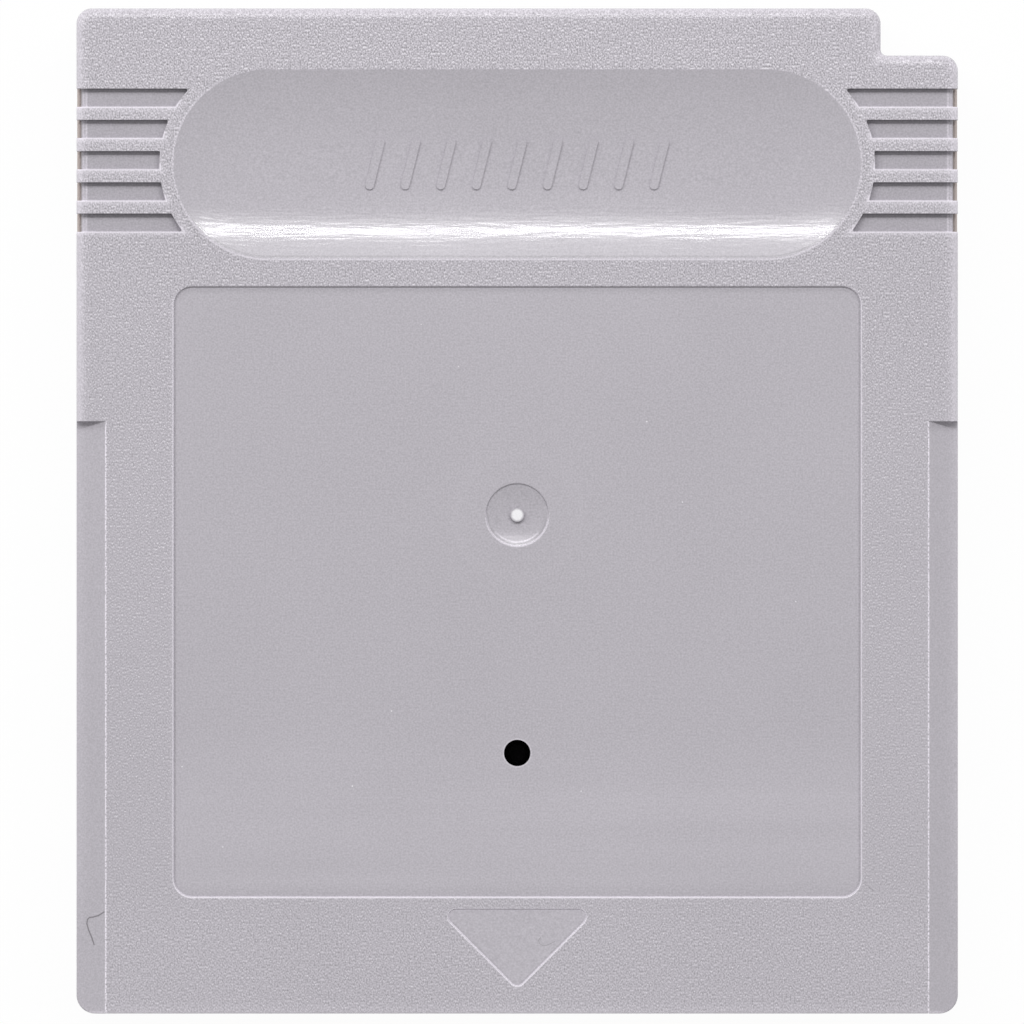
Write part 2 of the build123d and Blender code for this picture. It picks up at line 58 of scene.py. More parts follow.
# Factors on x, y and z before a pattern is laid: a small one draws the pattern out into lines that way
GRAIN_STRETCH = (1.5, 1.0, 1.0)
POLISH_STRETCH = (0.1, 1.0, 1.0)
STREAK_STRETCH = (0.05, 1.0, 1.0)
RUB_STRETCH = (1.0, 0.12, 1.0)
SCRATCH_STRETCH = (1.0, 0.03, 1.0)
ROLL_STRETCH = (0.04, 1.0, 1.0)


def path(*points):
    """A run of points on the front face, given in millimetres."""
    return [Vector((x, y, 0.0)) * MM for x, y in points]


# Stray marks on the front face
HAIR = path(
    (-26.72, -25.93),
    (-27.07, -26.16),
    (-27.42, -26.26),
    (-27.65, -26.29),
    (-27.79, -26.42),
    (-27.83, -26.69),
    (-27.72, -27.08),
    (-27.5, -27.61),
    (-27.36, -28.03),
)
HOOKED_HAIR = path(
    (1.52, -27.57),
    (1.39, -27.75),
    (1.43, -27.95),
    (1.6, -28.08),
    (1.83, -28.1),
    (2.09, -28.0),
    (2.43, -27.84),
)
SCRATCH = path((22.39, -24.07), (23.03, -24.54))


def srgb(red, green, blue):
    """The colour that a picture shows as these values from 0 to 255, ready for a colour socket."""
    shown = (red / 255, green / 255, blue / 255)
    linear = [part / 12.92 if part <= 0.04045 else ((part + 0.055) / 1.055) ** 2.4 for part in shown]
    return (*linear, 1.0)


def length(name, description, default):
    """A size in metres that the sidebar shows with its unit."""
    return bpy.props.FloatProperty(
        name=name, description=description, default=default, unit="LENGTH", precision=5
    )


def band(name, description, start, end):
    """Two places in metres, such as where a finish sets in and where it is full."""
    return bpy.props.FloatVectorProperty(
        name=name, description=description, default=(start, end), size=2, unit="LENGTH", precision=5
    )


def share(name, description, default):
    """A plain number from 0 to 1."""
    return bpy.props.FloatProperty(
        name=name, description=description, default=default, min=0.0, max=1.0, subtype="FACTOR"
    )


def level(name, description, default):
    """A plain number with no unit."""
    return bpy.props.FloatProperty(name=name, description=description, default=default, precision=3)


def angle(name, description, degrees):
    """An angle, given in degrees."""
    return bpy.props.FloatProperty(
        name=name, description=description, default=math.radians(degrees), subtype="ANGLE"
    )


def tint(name, description, default):
    """A colour with its alpha."""
    return bpy.props.FloatVectorProperty(
        name=name, description=description, default=default, size=4, min=0.0, max=1.0, subtype="COLOR"
    )


class CartridgeCase(bpy.types.PropertyGroup):
    """Places on the case that its finish follows."""

    label_width: length("Label width", "Width of the label recess", 44.4 * MM)
    label_top: length("Label top", "Upper edge of the label recess", 14.5 * MM)
    label_bottom: length("Label bottom", "Lower edge of the label recess", -24.95 * MM)
    label_corner: length("Label corner", "Corner radius of the label recess", 1.2 * MM)
    thumb_width: length("Thumb recess width", "Length of the thumb recess from end to end", 44.4 * MM)
    thumb_height: length("Thumb recess height", "Height of the thumb recess", 12.2 * MM)
    thumb_y: length("Thumb recess middle", "Height of the thumb recess's middle line", 22.45 * MM)
    groove_count: bpy.props.IntProperty(
        name="Grooves", description="Grooves on each side of the thumb recess", default=5
    )
    groove_pitch: length("Groove pitch", "Distance from one side groove to the next", 2.02 * MM)
    groove_width: length("Groove width", "Width of a side groove", 1.18 * MM)
    groove_y: length("Groove middle", "Height of the middle groove", 22.68 * MM)
    groove_end_gap: length("Groove end gap", "Land between the grooves and the thumb recess", 0.93 * MM)
    strip_width: length("Strip width", "Width of the sloping strip along each lower side", 1.9 * MM)
    strip_top: length("Strip top", "Upper end of the sloping strips", 5.8 * MM)
    strip_drop: length("Strip drop", "How far the strips fall from the face to the side", 1.0 * MM)
    gate_y: length("Gate height", "Height of the gate mark's middle", -0.25 * MM)
    gate_radius: length("Gate radius", "Radius of the gate mark", 2.0 * MM)
    nub_radius: length("Nub radius", "Radius of the nub in the gate mark", 0.45 * MM)
    arrow_tip: length("Arrow tip", "Height of the arrow's lower tip", -30.9 * MM)
    arrow_width: length("Arrow width", "Width of the arrow's upper side", 10.3 * MM)
    arrow_height: length("Arrow height", "Height of the arrow", 5.15 * MM)
    arrow_corner: length("Arrow corner", "Corner radius of the arrow", 0.5 * MM)
    hole_y: length("Screw height", "Height of the screw's middle", (screw_low.y + screw_high.y) / 2)
    hole_radius: length("Hole radius", "Radius of the screw's pilot hole", 0.86 * MM)
    corner: length("Corner", "Corner radius of the case", 1.1 * MM)
    parting: length("Parting height", "Height of the plane where the two halves meet", 3.4 * MM)
    notch_width: length("Notch width", "Width of the notch in one top corner", 5.0 * MM)
    notch_height: length("Notch height", "Height of the notch in one top corner", 3.05 * MM)


class CartridgePlastic(bpy.types.PropertyGroup):
    """Colour and surface of the moulded plastic."""

    colour: tint("Colour", "Grey of the moulded plastic", srgb(183, 179, 186))
    grime: tint("Grime", "Colour of the fine hairs and the scratch on the case", srgb(84, 80, 84))
    dust: tint("Dust", "Colour of the dust in the seam between the halves", srgb(200, 187, 182))
    # White for the specks, and for the nub as its painted highlight
    speck_and_highlight_white: tint("Scuff", "Colour of the nub and of white specks", srgb(246, 245, 248))
    grain_size: length("Grain size", "Spacing of the spark-eroded grain", 0.137 * MM)
    grain_height: length("Grain height", "Depth of the spark-eroded grain", 0.046 * MM)
    satin_size: length("Satin size", "Spacing of the fine mottling in the recesses", 0.112 * MM)
    polish_size: length("Polish size", "Spacing of the polishing marks in the recesses", 0.2 * MM)
    polish_height: length("Polish height", "Depth of the polishing marks in the recesses", 0.005 * MM)
    sway_size: length("Sway size", "Spacing of the slow waves in the recesses", 12.0 * MM)
    sway_height: level("Sway height", "Depth of the slow waves, in depths of the polishing marks", 15.0)
    cloud_size: length("Cloud size", "Spacing of slow changes of tone and polish", 9.0 * MM)
    streak_size: length("Streak size", "Spacing of the streaks low in the label recess", 1.6 * MM)
    rub_size: length("Rub size", "Spacing of the rubbed lines on the back", 1.2 * MM)
    grain_roughness: share("Grain roughness", "Roughness of the grained face", 0.24)
    satin_roughness: share("Satin roughness", "Roughness of the label recess, strips and grooves", 0.5)
    thumb_roughness: share("Thumb roughness", "Roughness of the polished thumb recess", 0.13)
    thumb_change: share("Thumb change", "How far the thumb recess's roughness wanders", 0.06)
    gate_polish: share("Gate polish", "How much less rough the gate mark is than the label recess", 0.3)
    rub_polish: share("Rub polish", "How much less rough the rubbed lines on the back are", 0.08)
    edge_softness: length("Edge softness", "Width over which one finish turns into the next", 0.04 * MM)


class CartridgeTone(bpy.types.PropertyGroup):
    """How light each part of the case is, beside its plain plastic."""

    plain: level("Plain", "Tone of plain plastic on the front half", 0.97)
    plain_rear: level("Plain, rear", "Tone of plain plastic on the rear half", 1.04)
    cloud: level("Cloud", "Slow change from place to place", 0.06)
    face: level("Face", "Added on the grained face", 0.065)
    face_low: level("Low face", "Added on the grained face near the mouth", 0.03)
    # Painted light: the grained face is made lighter towards the top
    face_top: level("High face", "Added on the grained face near the top", 0.03)
    thumb: level("Thumb recess", "Added in the thumb recess", 0.04)
    arrow: level("Arrow", "Added in the arrow", 0.06)
    # Painted light: lifts the shade that the sloping strips get from their slope
    strip: level("Strip", "Added on the sloping strips", 0.07)
    land: level("Land", "Added on the lands between the grooves", 0.05)
    halo: level("Halo", "Added in a ring round the gate mark", 0.015)
    rub: level("Rub", "Added on the rubbed lines on the back", 0.03)
    satin: level("Satin", "Contrast of the fine mottling in the recesses", 0.36)
    grain: level("Grain", "Contrast of the grain on the middle of the face", 0.5)
    grain_top: level("Grain, top", "Contrast that the grain gains towards the top", 0.86)
    grain_low: level("Grain, low", "Contrast that the grain gains near the mouth", 0.38)
    grain_rear: level("Grain, rear", "Contrast of the grain on the rear half", 0.8)
    streak_low: level("Streak, least", "Added between the streaks", 0.005)
    streak_high: level("Streak, most", "Added on the streaks", 0.105)
    # Painted shade: the seam's dust is darker deeper in from the side
    seam_low: level("Seam, least", "Tone of the dust deep in the seam", 0.7)
    seam_high: level("Seam, most", "Tone of the dust at the outer end of the seam", 1.1)
    grain_band: band("Grain band", "Heights over which the grain gains contrast", -8 * MM, 30 * MM)
    low_band: band("Low band", "Heights over which the face nears the mouth", -23 * MM, -28 * MM)
    top_band: band("Top band", "Heights over which the face nears the top", 20 * MM, 30 * MM)
    streak_band: band("Streak band", "Heights over which the streaks set in", -13 * MM, -19 * MM)
    halo_band: band("Halo band", "Distances from the ring round the gate mark", 0.6 * MM, 0.1 * MM)
    land_fade: level("Land fade", "How far past the last grooves the lands' tone fades, in pitches", 0.4)


class CartridgeWearAndPaintedLight(bpy.types.PropertyGroup):
    """How far painted highlights and some real rubbing lighten edges, and painted shade darkens the feet of
    walls.
    """

    # Width of the painted lines along the recesses' edges, and depth below the strips where the painted
    # light and the marks end
    rim_width: length("Rim width", "Width of the rubbed line round a recess", 0.12 * MM)
    front_fade: length("Front fade", "Depth below the strips over which the rubbing ends", 0.2 * MM)

    # Painted highlight round the label recess, faint along its upper edge, and a painted glow on the face
    # beside it
    label_rim: share("Label rim", "Rubbing round the label recess", 0.5)
    label_rim_top: share("Label rim, top", "Rubbing along the label recess's upper edge", 0.05)
    label_glow: share("Label glow", "Rubbing of the face beside the label recess", 0.06)
    label_glow_band: band("Label glow band", "Distances from the label recess", 0.35 * MM, 0.0)
    # Painted shade at the foot of the label recess's walls; under its upper edge painted light lifts the
    # shadow, and a soft painted shadow falls further in
    label_foot: level("Label foot", "Dust at the foot of the label recess's sides", 0.32)
    label_foot_top: level("Label foot, top", "Dust along its upper side, lighter where below zero", -0.18)
    label_foot_low: level("Label foot, low", "Dust along its lower side", 0.02)
    label_foot_band: band("Label foot band", "Distances from the label recess's edge", -0.2 * MM, 0.0)
    label_shade_top: share("Label shade, top", "Soft shade below the label recess's upper side", 0.16)
    label_shade_low: share("Label shade, low", "Soft shade above the label recess's lower side", 0.08)
    label_shade_band: band("Label shade band", "Distances from the label recess's edge", -0.6 * MM, 0.0)

    # Painted highlight along the arrow's sloping sides, painted light along its upper side, and painted
    # shade inside its sloping sides
    arrow_rim: share("Arrow rim", "Rubbing along the arrow's sloping sides", 0.5)
    arrow_rim_top: share("Arrow rim, top", "Rubbing along the arrow's upper side", 0.4)
    arrow_foot: share("Arrow foot", "Dust inside the arrow's sloping sides", 0.09)
    arrow_band: band("Arrow band", "Distances below the arrow's upper side", 0.4 * MM, 0.9 * MM)

    # Painted highlight round the thumb recess's ends and along its lower edge, and painted shade just inside
    # that edge
    thumb_rim: share("Thumb rim", "Rubbing round the thumb recess's ends", 0.2)
    thumb_rim_low: share("Thumb rim, low", "Rubbing along the thumb recess's lower edge", 0.4)
    thumb_rim_shift: length("Thumb rim shift", "How far outside the edge this line lies", 0.06 * MM)
    thumb_foot: share("Thumb foot", "Dust inside the thumb recess's lower edge", 0.16)
    thumb_low_band: band("Thumb low band", "Distances below its middle line", 2.0 * MM, 5.0 * MM)
    thumb_top_band: band("Thumb top band", "Distances above its middle line", 4.0 * MM, 6.0 * MM)

    # Painted highlight along each groove's lower edge and on the land below it; painted shade on the groove
    # floors, and a painted shadow below each groove's upper side
    groove_rim: share("Groove rim", "Rubbing along the lower edge of each groove", 0.4)
    groove_glow: share("Groove glow", "Rubbing of the land below each groove", 0.2)
    groove_glow_band: band("Groove glow band", "Distances from the groove", 0.42 * MM, 0.08 * MM)
    groove_half: share("Groove half", "From a groove's middle to where its half is full, in pitches", 0.2)
    groove_floor: share("Groove floor", "Dust on the floor of the grooves", 0.12)
    groove_foot: share("Groove foot", "Dust at the foot of each groove's upper side", 0.3)
    groove_foot_band: band("Groove foot band", "Distances from the groove's edge", -0.12 * MM, 0.0)
    groove_shade: share("Groove shade", "Soft shade below each groove's upper side", 0.12)
    groove_shade_band: band("Groove shade band", "Distances from its edge", -0.65 * MM, -0.2 * MM)
    # Painted highlights where the grooves run out through the sides, with two fine lines on the lips
    groove_end: share("Groove end", "Rubbing where the grooves run out through the sides", 0.2)
    groove_end_band: band("Groove end band", "Distances in from the side", 0.75 * MM, 0.6 * MM)
    groove_lip: share("Groove lip", "Rubbing of the two fine lips at the grooves' ends", 0.3)
    groove_lips: band("Groove lips", "Distances of the two lips from the side", 0.44 * MM, 0.66 * MM)
    groove_lip_width: length("Groove lip width", "Half the width of a lip's line", 0.1 * MM)

    # Painted highlight along the strips' upper edge, and a painted shadow below their upper end
    strip_rim: share("Strip rim", "Rubbing along the upper edge of the sloping strips", 0.9)
    strip_rim_width: length("Strip rim width", "Half the width of that line", 0.084 * MM)
    strip_foot: share("Strip foot", "Soft shade below the upper end of the strips", 0.14)
    strip_foot_band: band("Strip foot band", "Distances below the strips' upper end", 0.8 * MM, 0.2 * MM)

    # Painted highlight on the gate mark's lower rim and in a crescent low inside it, and painted shade just
    # inside that rim
    gate_rim: share("Gate rim", "Rubbing along the lower rim of the gate mark", 0.5)
    gate_foot: share("Gate foot", "Dust inside the lower rim of the gate mark", 0.12)
    gate_band: band("Gate band", "Distances below the gate mark's middle", -0.6 * MM, 0.6 * MM)
    crescent: share("Crescent", "Light crescent low in the gate mark", 0.5)
    crescent_fill: share("Crescent fill", "Light round that crescent", 0.12)
    crescent_inset: length("Crescent inset", "From the gate mark's rim to the crescent", 0.24 * MM)
    crescent_width: band("Crescent width", "Distances from the crescent's line", 0.08 * MM, 0.02 * MM)
    crescent_band: band("Crescent band", "Distances below the gate's middle", 0.9 * MM, 1.6 * MM)
    # Painted highlight round the screw's pilot hole
    hole_rim: share("Hole rim", "Rubbing round the screw's pilot hole", 0.25)

    # Painted light along the case's outline that lifts the shade of its rounded edges, together with real
    # rubbing there
    face_edge: share("Face edge", "Rubbing of the face towards the case's outline", 0.3)
    strip_edge: share("Strip edge", "Rubbing of the strips towards the case's outline", 0.1)
    edge_low: share("Edge, low", "How much of this is left along the mouth", 0.3)
    edge_reach: length("Edge reach", "How far in from the outline it reaches", 1.3 * MM)
    edge_power: level("Edge power", "How steeply it rises towards the outline", 2.5)
    # Painted highlight along the sides above the strips
    side_edge: share("Side edge", "Rubbing along the sides above the strips", 0.15)
    side_edge_band: band("Side edge band", "Distances in from the side", 0.6 * MM, 0.15 * MM)
    # Painted light along the mouth that lifts the shade of its rounded edge
    mouth_rim: share("Mouth rim", "Rubbing along the mouth", 0.45)
    mouth_band: band("Mouth band", "Distances above the mouth's edge", 0.2 * MM, 0.05 * MM)

    flatten: level("Flattening", "How soon rubbing wears the grain flat", 2.0)
    tips_left: share("Tips left", "Contrast of the grain that is left where it is rubbed", 0.3)
    grain_left: share("Grain left", "Depth of the grain that is left where it is rubbed", 0.4)

    mark: share("Mark", "How much of the plastic a hair or scratch hides", 0.7)
    mark_band: band("Mark band", "Distances from its line", 0.07 * MM, 0.01 * MM)
    mark_thin: length("Thin mark", "How much narrower the hooked hair and the scratch are", 0.03 * MM)
    speck: share("Speck", "How white the specks in the label recess are", 0.7)
    speck_spacing: length("Speck spacing", "Distance from speck to speck", 3.1 * MM)
    speck_radius: length("Speck radius", "Radius of a speck", 0.07 * MM)
    # Painted highlight: the nub is painted white, most at its core
    nub_core: share("Nub core", "Part of the nub's radius that is white", 0.6)
    nub_low: level("Nub, least", "How white the nub is at least", 0.8)
    nub_high: level("Nub, most", "How white the nub is at most", 1.2)
    seam_band: band("Seam band", "Depths below the parting plane", 0.3 * MM, 0.1 * MM)
    # Painted shade: the seam's dust is darker deeper in from the side
    seam_reach: length("Seam reach", "How far in from the side the seam's dust is lighter", 0.4 * MM)


class CartridgeInside(bpy.types.PropertyGroup):
    """Colours and surfaces of the board, its parts and the metal."""

    resist: tint("Solder resist", "Green film over the board", srgb(44, 104, 62))
    track: tint("Tracks", "Solder resist where a copper track runs below it", srgb(72, 138, 78))
    laminate: tint("Laminate", "Bare board between the contacts and on its edges", srgb(148, 146, 96))
    gold: tint("Gold", "Plating of the edge contacts", srgb(222, 184, 104))
    resin: tint("Resin", "Moulded body of the chips", srgb(42, 42, 44))
    tin: tint("Tin", "Plating of the leads and of the small parts' ends", srgb(196, 197, 199))
    steel: tint("Steel", "Cell and screw", srgb(188, 188, 186))
    nickel: tint("Nickel", "Welded tabs of the cell", srgb(192, 186, 172))
    # Painted shade: near black for the screw's tip, seen down the pilot hole
    painted_tip_shade: tint("Thread lock", "Dark compound on the screw's tip", srgb(18, 17, 18))
    capacitor: tint("Capacitor", "Fired body of the capacitors", srgb(186, 150, 104))
    resistor: tint("Resistor", "Glazed body of the resistors", srgb(34, 34, 38))

    contact_pitch: length("Contact pitch", "Distance from one contact to the next", 1.5 * MM)
    track_band: band("Track edge", "Distances from a track's middle line", 0.24 * MM, 0.2 * MM)
    track_height: length("Track height", "How far a track lifts the solder resist", 0.03 * MM)
    bare_band: band("Bare end", "Distances above the contacts", 0.5 * MM, 0.4 * MM)
    bare_roughness: share("Bare roughness", "How much rougher bare laminate is than its film", 0.22)
    edge_band: band("Board edge", "Depths below the board's faces", 0.02 * MM, 0.04 * MM)
    weave_size: length("Weave", "Spacing of the glass cloth in the laminate", 0.45 * MM)
    weave_tone: share("Weave tone", "How far the glass cloth changes the laminate's tone", 0.05)
    weave_height: share("Weave height", "Height of the glass cloth, in heights of a track", 0.06)
    scratch_tone: share("Scratch tone", "Tone added by the contacts' scratches", 0.06)
    scratch_roughness: share("Scratch roughness", "Roughness added by the contacts' scratches", 0.12)
    resin_grain: share("Resin grain", "Contrast of the grain on the chips", 0.2)
    turning_size: length("Turning marks", "Spacing of the turning marks on the screw", 0.12 * MM)
    tip_band: band("Screw tip", "Depths below the screw's tip", 1.2 * MM, 1.0 * MM)
    tip_roughness: share("Tip roughness", "How much rougher the screw's tip is than its shank", 0.5)
    # The dark on the screw's tip is painted shade
    tip_shine: share("Tip shine", "How far the dark compound on the screw's tip shines", 0.1)
    solder_band: band("Solder", "Distances from the board down a lead", 0.35 * MM, 0.1 * MM)
    solder_tone: share("Solder tone", "How much darker a lead is at the solder", 0.08)
    solder_roughness: share("Solder roughness", "How much rougher a lead is at the solder", 0.1)
    weld_x: length("Weld across", "From the cell's middle to a weld spot, across", 1.2 * MM)
    weld_y: length("Weld along", "From the cell's middle to a weld spot, along", 0.8 * MM)
    weld_band: band("Weld edge", "Distances from a weld spot's middle", 0.4 * MM, 0.3 * MM)
    weld_depth: length("Weld depth", "Depth of a weld spot", 0.03 * MM)
    weld_tone: share("Weld tone", "How much darker a weld spot is than its tab", 0.3)
    weld_roughness: share("Weld roughness", "How much rougher a weld spot is than its tab", 0.2)
    roll_height: share("Roll height", "Height of the rolled lines, in depths of a weld spot", 0.05)
    end_band: bpy.props.FloatVectorProperty(
        name="Metal end",
        description="Where a small part's metal end starts, from its middle, as parts of its length",
        default=(0.29, 0.31),
        size=2,
    )


class CartridgeStage(bpy.types.PropertyGroup):
    """Floor, light and camera."""

    floor_size: length("Floor size", "Side of the square floor", 1.2)
    floor_gap: length("Floor gap", "Distance from the floor up to the cartridge", 0.02 * MM)
    floor_tone: share("Floor tone", "Lightness of the floor", 0.96)
    floor_glow: share("Floor glow", "How far the floor is lifted to the white background", 0.96)
    key_angle: angle("Key angle", "From straight above to the key lamp, towards the thumb recess", 30.2)
    key_distance: length("Key distance", "From the front face to the lamps", 0.5)
    key_length: length("Key length", "Length of the lamps across the cartridge", 0.72)
    key_width: length("Key width", "Width of the key lamp", 0.023)
    key_level: level("Key level", "Brightness of the key lamp, where 1 is white", 23.0)
    key_shift: length("Key shift", "How far the lamps are moved across, to the left", 0.06)
    glow_angle: angle("Glow angle", "From straight above to the broad lamp, towards the thumb recess", 34.0)
    glow_width: length("Glow width", "Width of the broad lamp", 0.18)
    glow_level: level("Glow level", "Brightness of the broad lamp, where 1 is white", 2.2)
    fill_level: level("Fill level", "Brightness of the light from all round, where 1 is white", 0.41)
    lens: bpy.props.FloatProperty(
        name="Lens", description="Focal length of the camera in millimetres", default=1200.0, unit="CAMERA"
    )
    view_width: length("View width", "Width that the picture spans at the front face", 66.2 * MM)
    aim_x: length("Aim across", "Where the middle of the picture falls, across", -0.336 * MM)
    aim_y: length("Aim along", "Where the middle of the picture falls, along", -0.068 * MM)
    clip_start: length("Clip start", "Nearest that the camera sees", 0.01)


class Wire:
    """A socket in a node tree that Python can reckon with: each operation adds the node for it."""

    def __init__(self, tree, socket=None):
        self.tree = tree
        self.socket = socket

    def node(self, kind, settings=None, sockets=None, output=0):
        """Add a node: its settings first, then the values or links of its sockets."""
        node = self.tree.nodes.new(kind)
        for name, value in (settings or {}).items():
            setattr(node, name, value)
        for name, value in (sockets or {}).items():
            if isinstance(value, Wire):
                self.tree.links.new(value.socket, node.inputs[name])
            else:
                node.inputs[name].default_value = value
        return Wire(self.tree, node.outputs[output] if node.outputs else None)

    def math(self, operation, first, second=0.0):
        """A Math node on two values."""
        return self.node("ShaderNodeMath", {"operation": operation}, {0: first, 1: second})

    def __add__(self, other):
        return self.math("ADD", self, other)

    def __radd__(self, other):
        return self.math("ADD", other, self)

    def __sub__(self, other):
        return self.math("SUBTRACT", self, other)

    def __rsub__(self, other):
        return self.math("SUBTRACT", other, self)

    def __mul__(self, other):
        return self.math("MULTIPLY", self, other)

    def __truediv__(self, other):
        return self.math("DIVIDE", self, other)

    def __pow__(self, other):
        return self.math("POWER", self, other)

    def __abs__(self):
        return self.math("ABSOLUTE", self)

    def most(self, other):
        """The greater of two values."""
        return self.math("MAXIMUM", self, other)

    def least(self, other):
        """The lesser of two values."""
        return self.math("MINIMUM", self, other)

    def across(self, start, end):
        """A smooth step: 0 where this value is at start, 1 where it is at end."""
        ends = {"Value": self, "From Min": start, "From Max": end}
        return self.node("ShaderNodeMapRange", {"interpolation_type": "SMOOTHSTEP"}, ends)

    def vary(self, low, high):
        """A value that goes from low to high as this one goes from 0 to 1."""
        return self * (high - low) + low

    def wave(self, spacing):
        """A sine wave along this value, from -1 to 1."""
        return self.math("SINE", self * (2 * math.pi / spacing))

    # The Mix node has a set of sockets for each type of data, under the same names, so they go by number

    def blend(self, first, second):
        """The first colour where this value is 0, the second where it is 1."""
        colours = {0: self, 6: first, 7: second}
        return self.node("ShaderNodeMix", {"data_type": "RGBA"}, colours, output=2)

    def blend_normals(self, first, second):
        """The first normal where this value is 0, the second where it is 1."""
        normals = {0: self, 4: first, 5: second}
        return self.node("ShaderNodeMix", {"data_type": "VECTOR"}, normals, output=1)

    def shade(self, colour):
        """A colour times this value, in all three parts alike."""
        scaled = {"Vector": colour[:3], "Scale": self}
        return self.node("ShaderNodeVectorMath", {"operation": "SCALE"}, scaled)

    def vector(self, operation, other=None):
        """A Vector Math node on this point, and on another where the operation takes two."""
        sockets = {0: self} if other is None else {0: self, 1: other}
        number = operation in ("LENGTH", "DISTANCE", "DOT_PRODUCT")
        output = "Value" if number else "Vector"
        return self.node("ShaderNodeVectorMath", {"operation": operation}, sockets, output)


def new_material(name):
    """An empty material, and a wire that carries the place on the part to its nodes."""
    material = bpy.data.materials.new(name)
    material.use_nodes = True
    material.node_tree.nodes.clear()
    return material, Wire(material.node_tree).node("ShaderNodeTexCoord", output="Object")


def close_material(point, sockets):
    """Add the surface shader with these sockets and join it to the material's output."""
    surface = point.node("ShaderNodeBsdfPrincipled", sockets=sockets)
    point.node("ShaderNodeOutputMaterial", sockets={"Surface": surface})


def dress(node_name, material):
    """Give a CAD node its finish."""
    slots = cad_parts[node_name].data.materials
    slots.clear()
    slots.append(material)


def split(point):
    """The x, y and z of a point."""
    first = point.node("ShaderNodeSeparateXYZ", sockets={"Vector": point})
    return [Wire(point.tree, socket) for socket in first.socket.node.outputs]


def noise(point, spacing, detail, stretch=None):
    """Cloudy noise from 0 to 1 whose lumps lie about this far apart."""
    place = point.vector("MULTIPLY", stretch) if stretch else point
    sockets = {"Vector": place, "Scale": 1 / spacing, "Detail": detail}
    return point.node("ShaderNodeTexNoise", sockets=sockets)


def specks(point, spacing, radius):
    """Scattered round dots of this radius, 1 inside them and 0 outside."""
    dots = {"Vector": point, "Scale": 1 / spacing, "Randomness": 1.0}
    near = point.node("ShaderNodeTexVoronoi", sockets=dots) * spacing
    return near.across(radius, 0.5 * radius)


def line_along(distance, width):
    """A fine line along an edge, from a little inside it to this far outside."""
    return distance.across(width, 0.4 * width) * distance.across(-0.6 * width, -0.1 * width)


def relief(height, depth):
    """A normal bent by a height from 0 to 1 that stands for this depth in metres."""
    return height.node("ShaderNodeBump", sockets={"Height": height, "Distance": depth, "Strength": 1.0})


def flatten(point):
    """A point moved straight down to z = 0."""
    return point.vector("MULTIPLY", (1.0, 1.0, 0.0))


def box_distance(flat, middle_y, width, height, corner):
    """Distance outwards from a rounded rectangle, less than zero inside it and least a corner radius in."""
    past = flat.vector("SUBTRACT", (0.0, middle_y, 0.0)).vector("ABSOLUTE")
    past = past.vector("SUBTRACT", (width / 2 - corner, height / 2 - corner, 0.0))
    return past.vector("MAXIMUM", (0.0, 0.0, 0.0)).vector("LENGTH") - corner


def line_distance(flat, points):
    """Distance from a line that runs straight from point to point."""
    nearest = None
    for first, second in zip(points, points[1:]):
        run = second - first
        offset = flat.vector("SUBTRACT", first)
        along = offset.vector("DOT_PRODUCT", run / run.length_squared)
        held = flat.node("ShaderNodeClamp", sockets={"Value": along})
        gap = offset.vector("DISTANCE", held.shade(run))
        nearest = gap if nearest is None else nearest.least(gap)
    return nearest


def arrow_distance(flat, case):
    """Distance outwards from the arrow with its rounded corners, less than zero inside it."""
    x, y = split(flat)[:2]
    half_width = case.arrow_width / 2
    slope = math.hypot(half_width, case.arrow_height)
    inner_top = case.arrow_tip + case.arrow_height - case.arrow_corner
    inner_tip = case.arrow_tip + case.arrow_corner * slope / half_width
    inner_half = (inner_top - inner_tip) * half_width / case.arrow_height
    inner_side = (abs(x) * case.arrow_height - (y - inner_tip) * half_width) / slope
    inside = inner_side.most(y - inner_top)
    tip = Vector((0.0, inner_tip, 0.0))
    right = Vector((inner_half, inner_top, 0.0))
    left = Vector((-inner_half, inner_top, 0.0))
    outside = line_distance(flat, [tip, right, left, tip])
    return inside.least(outside - case.arrow_corner)


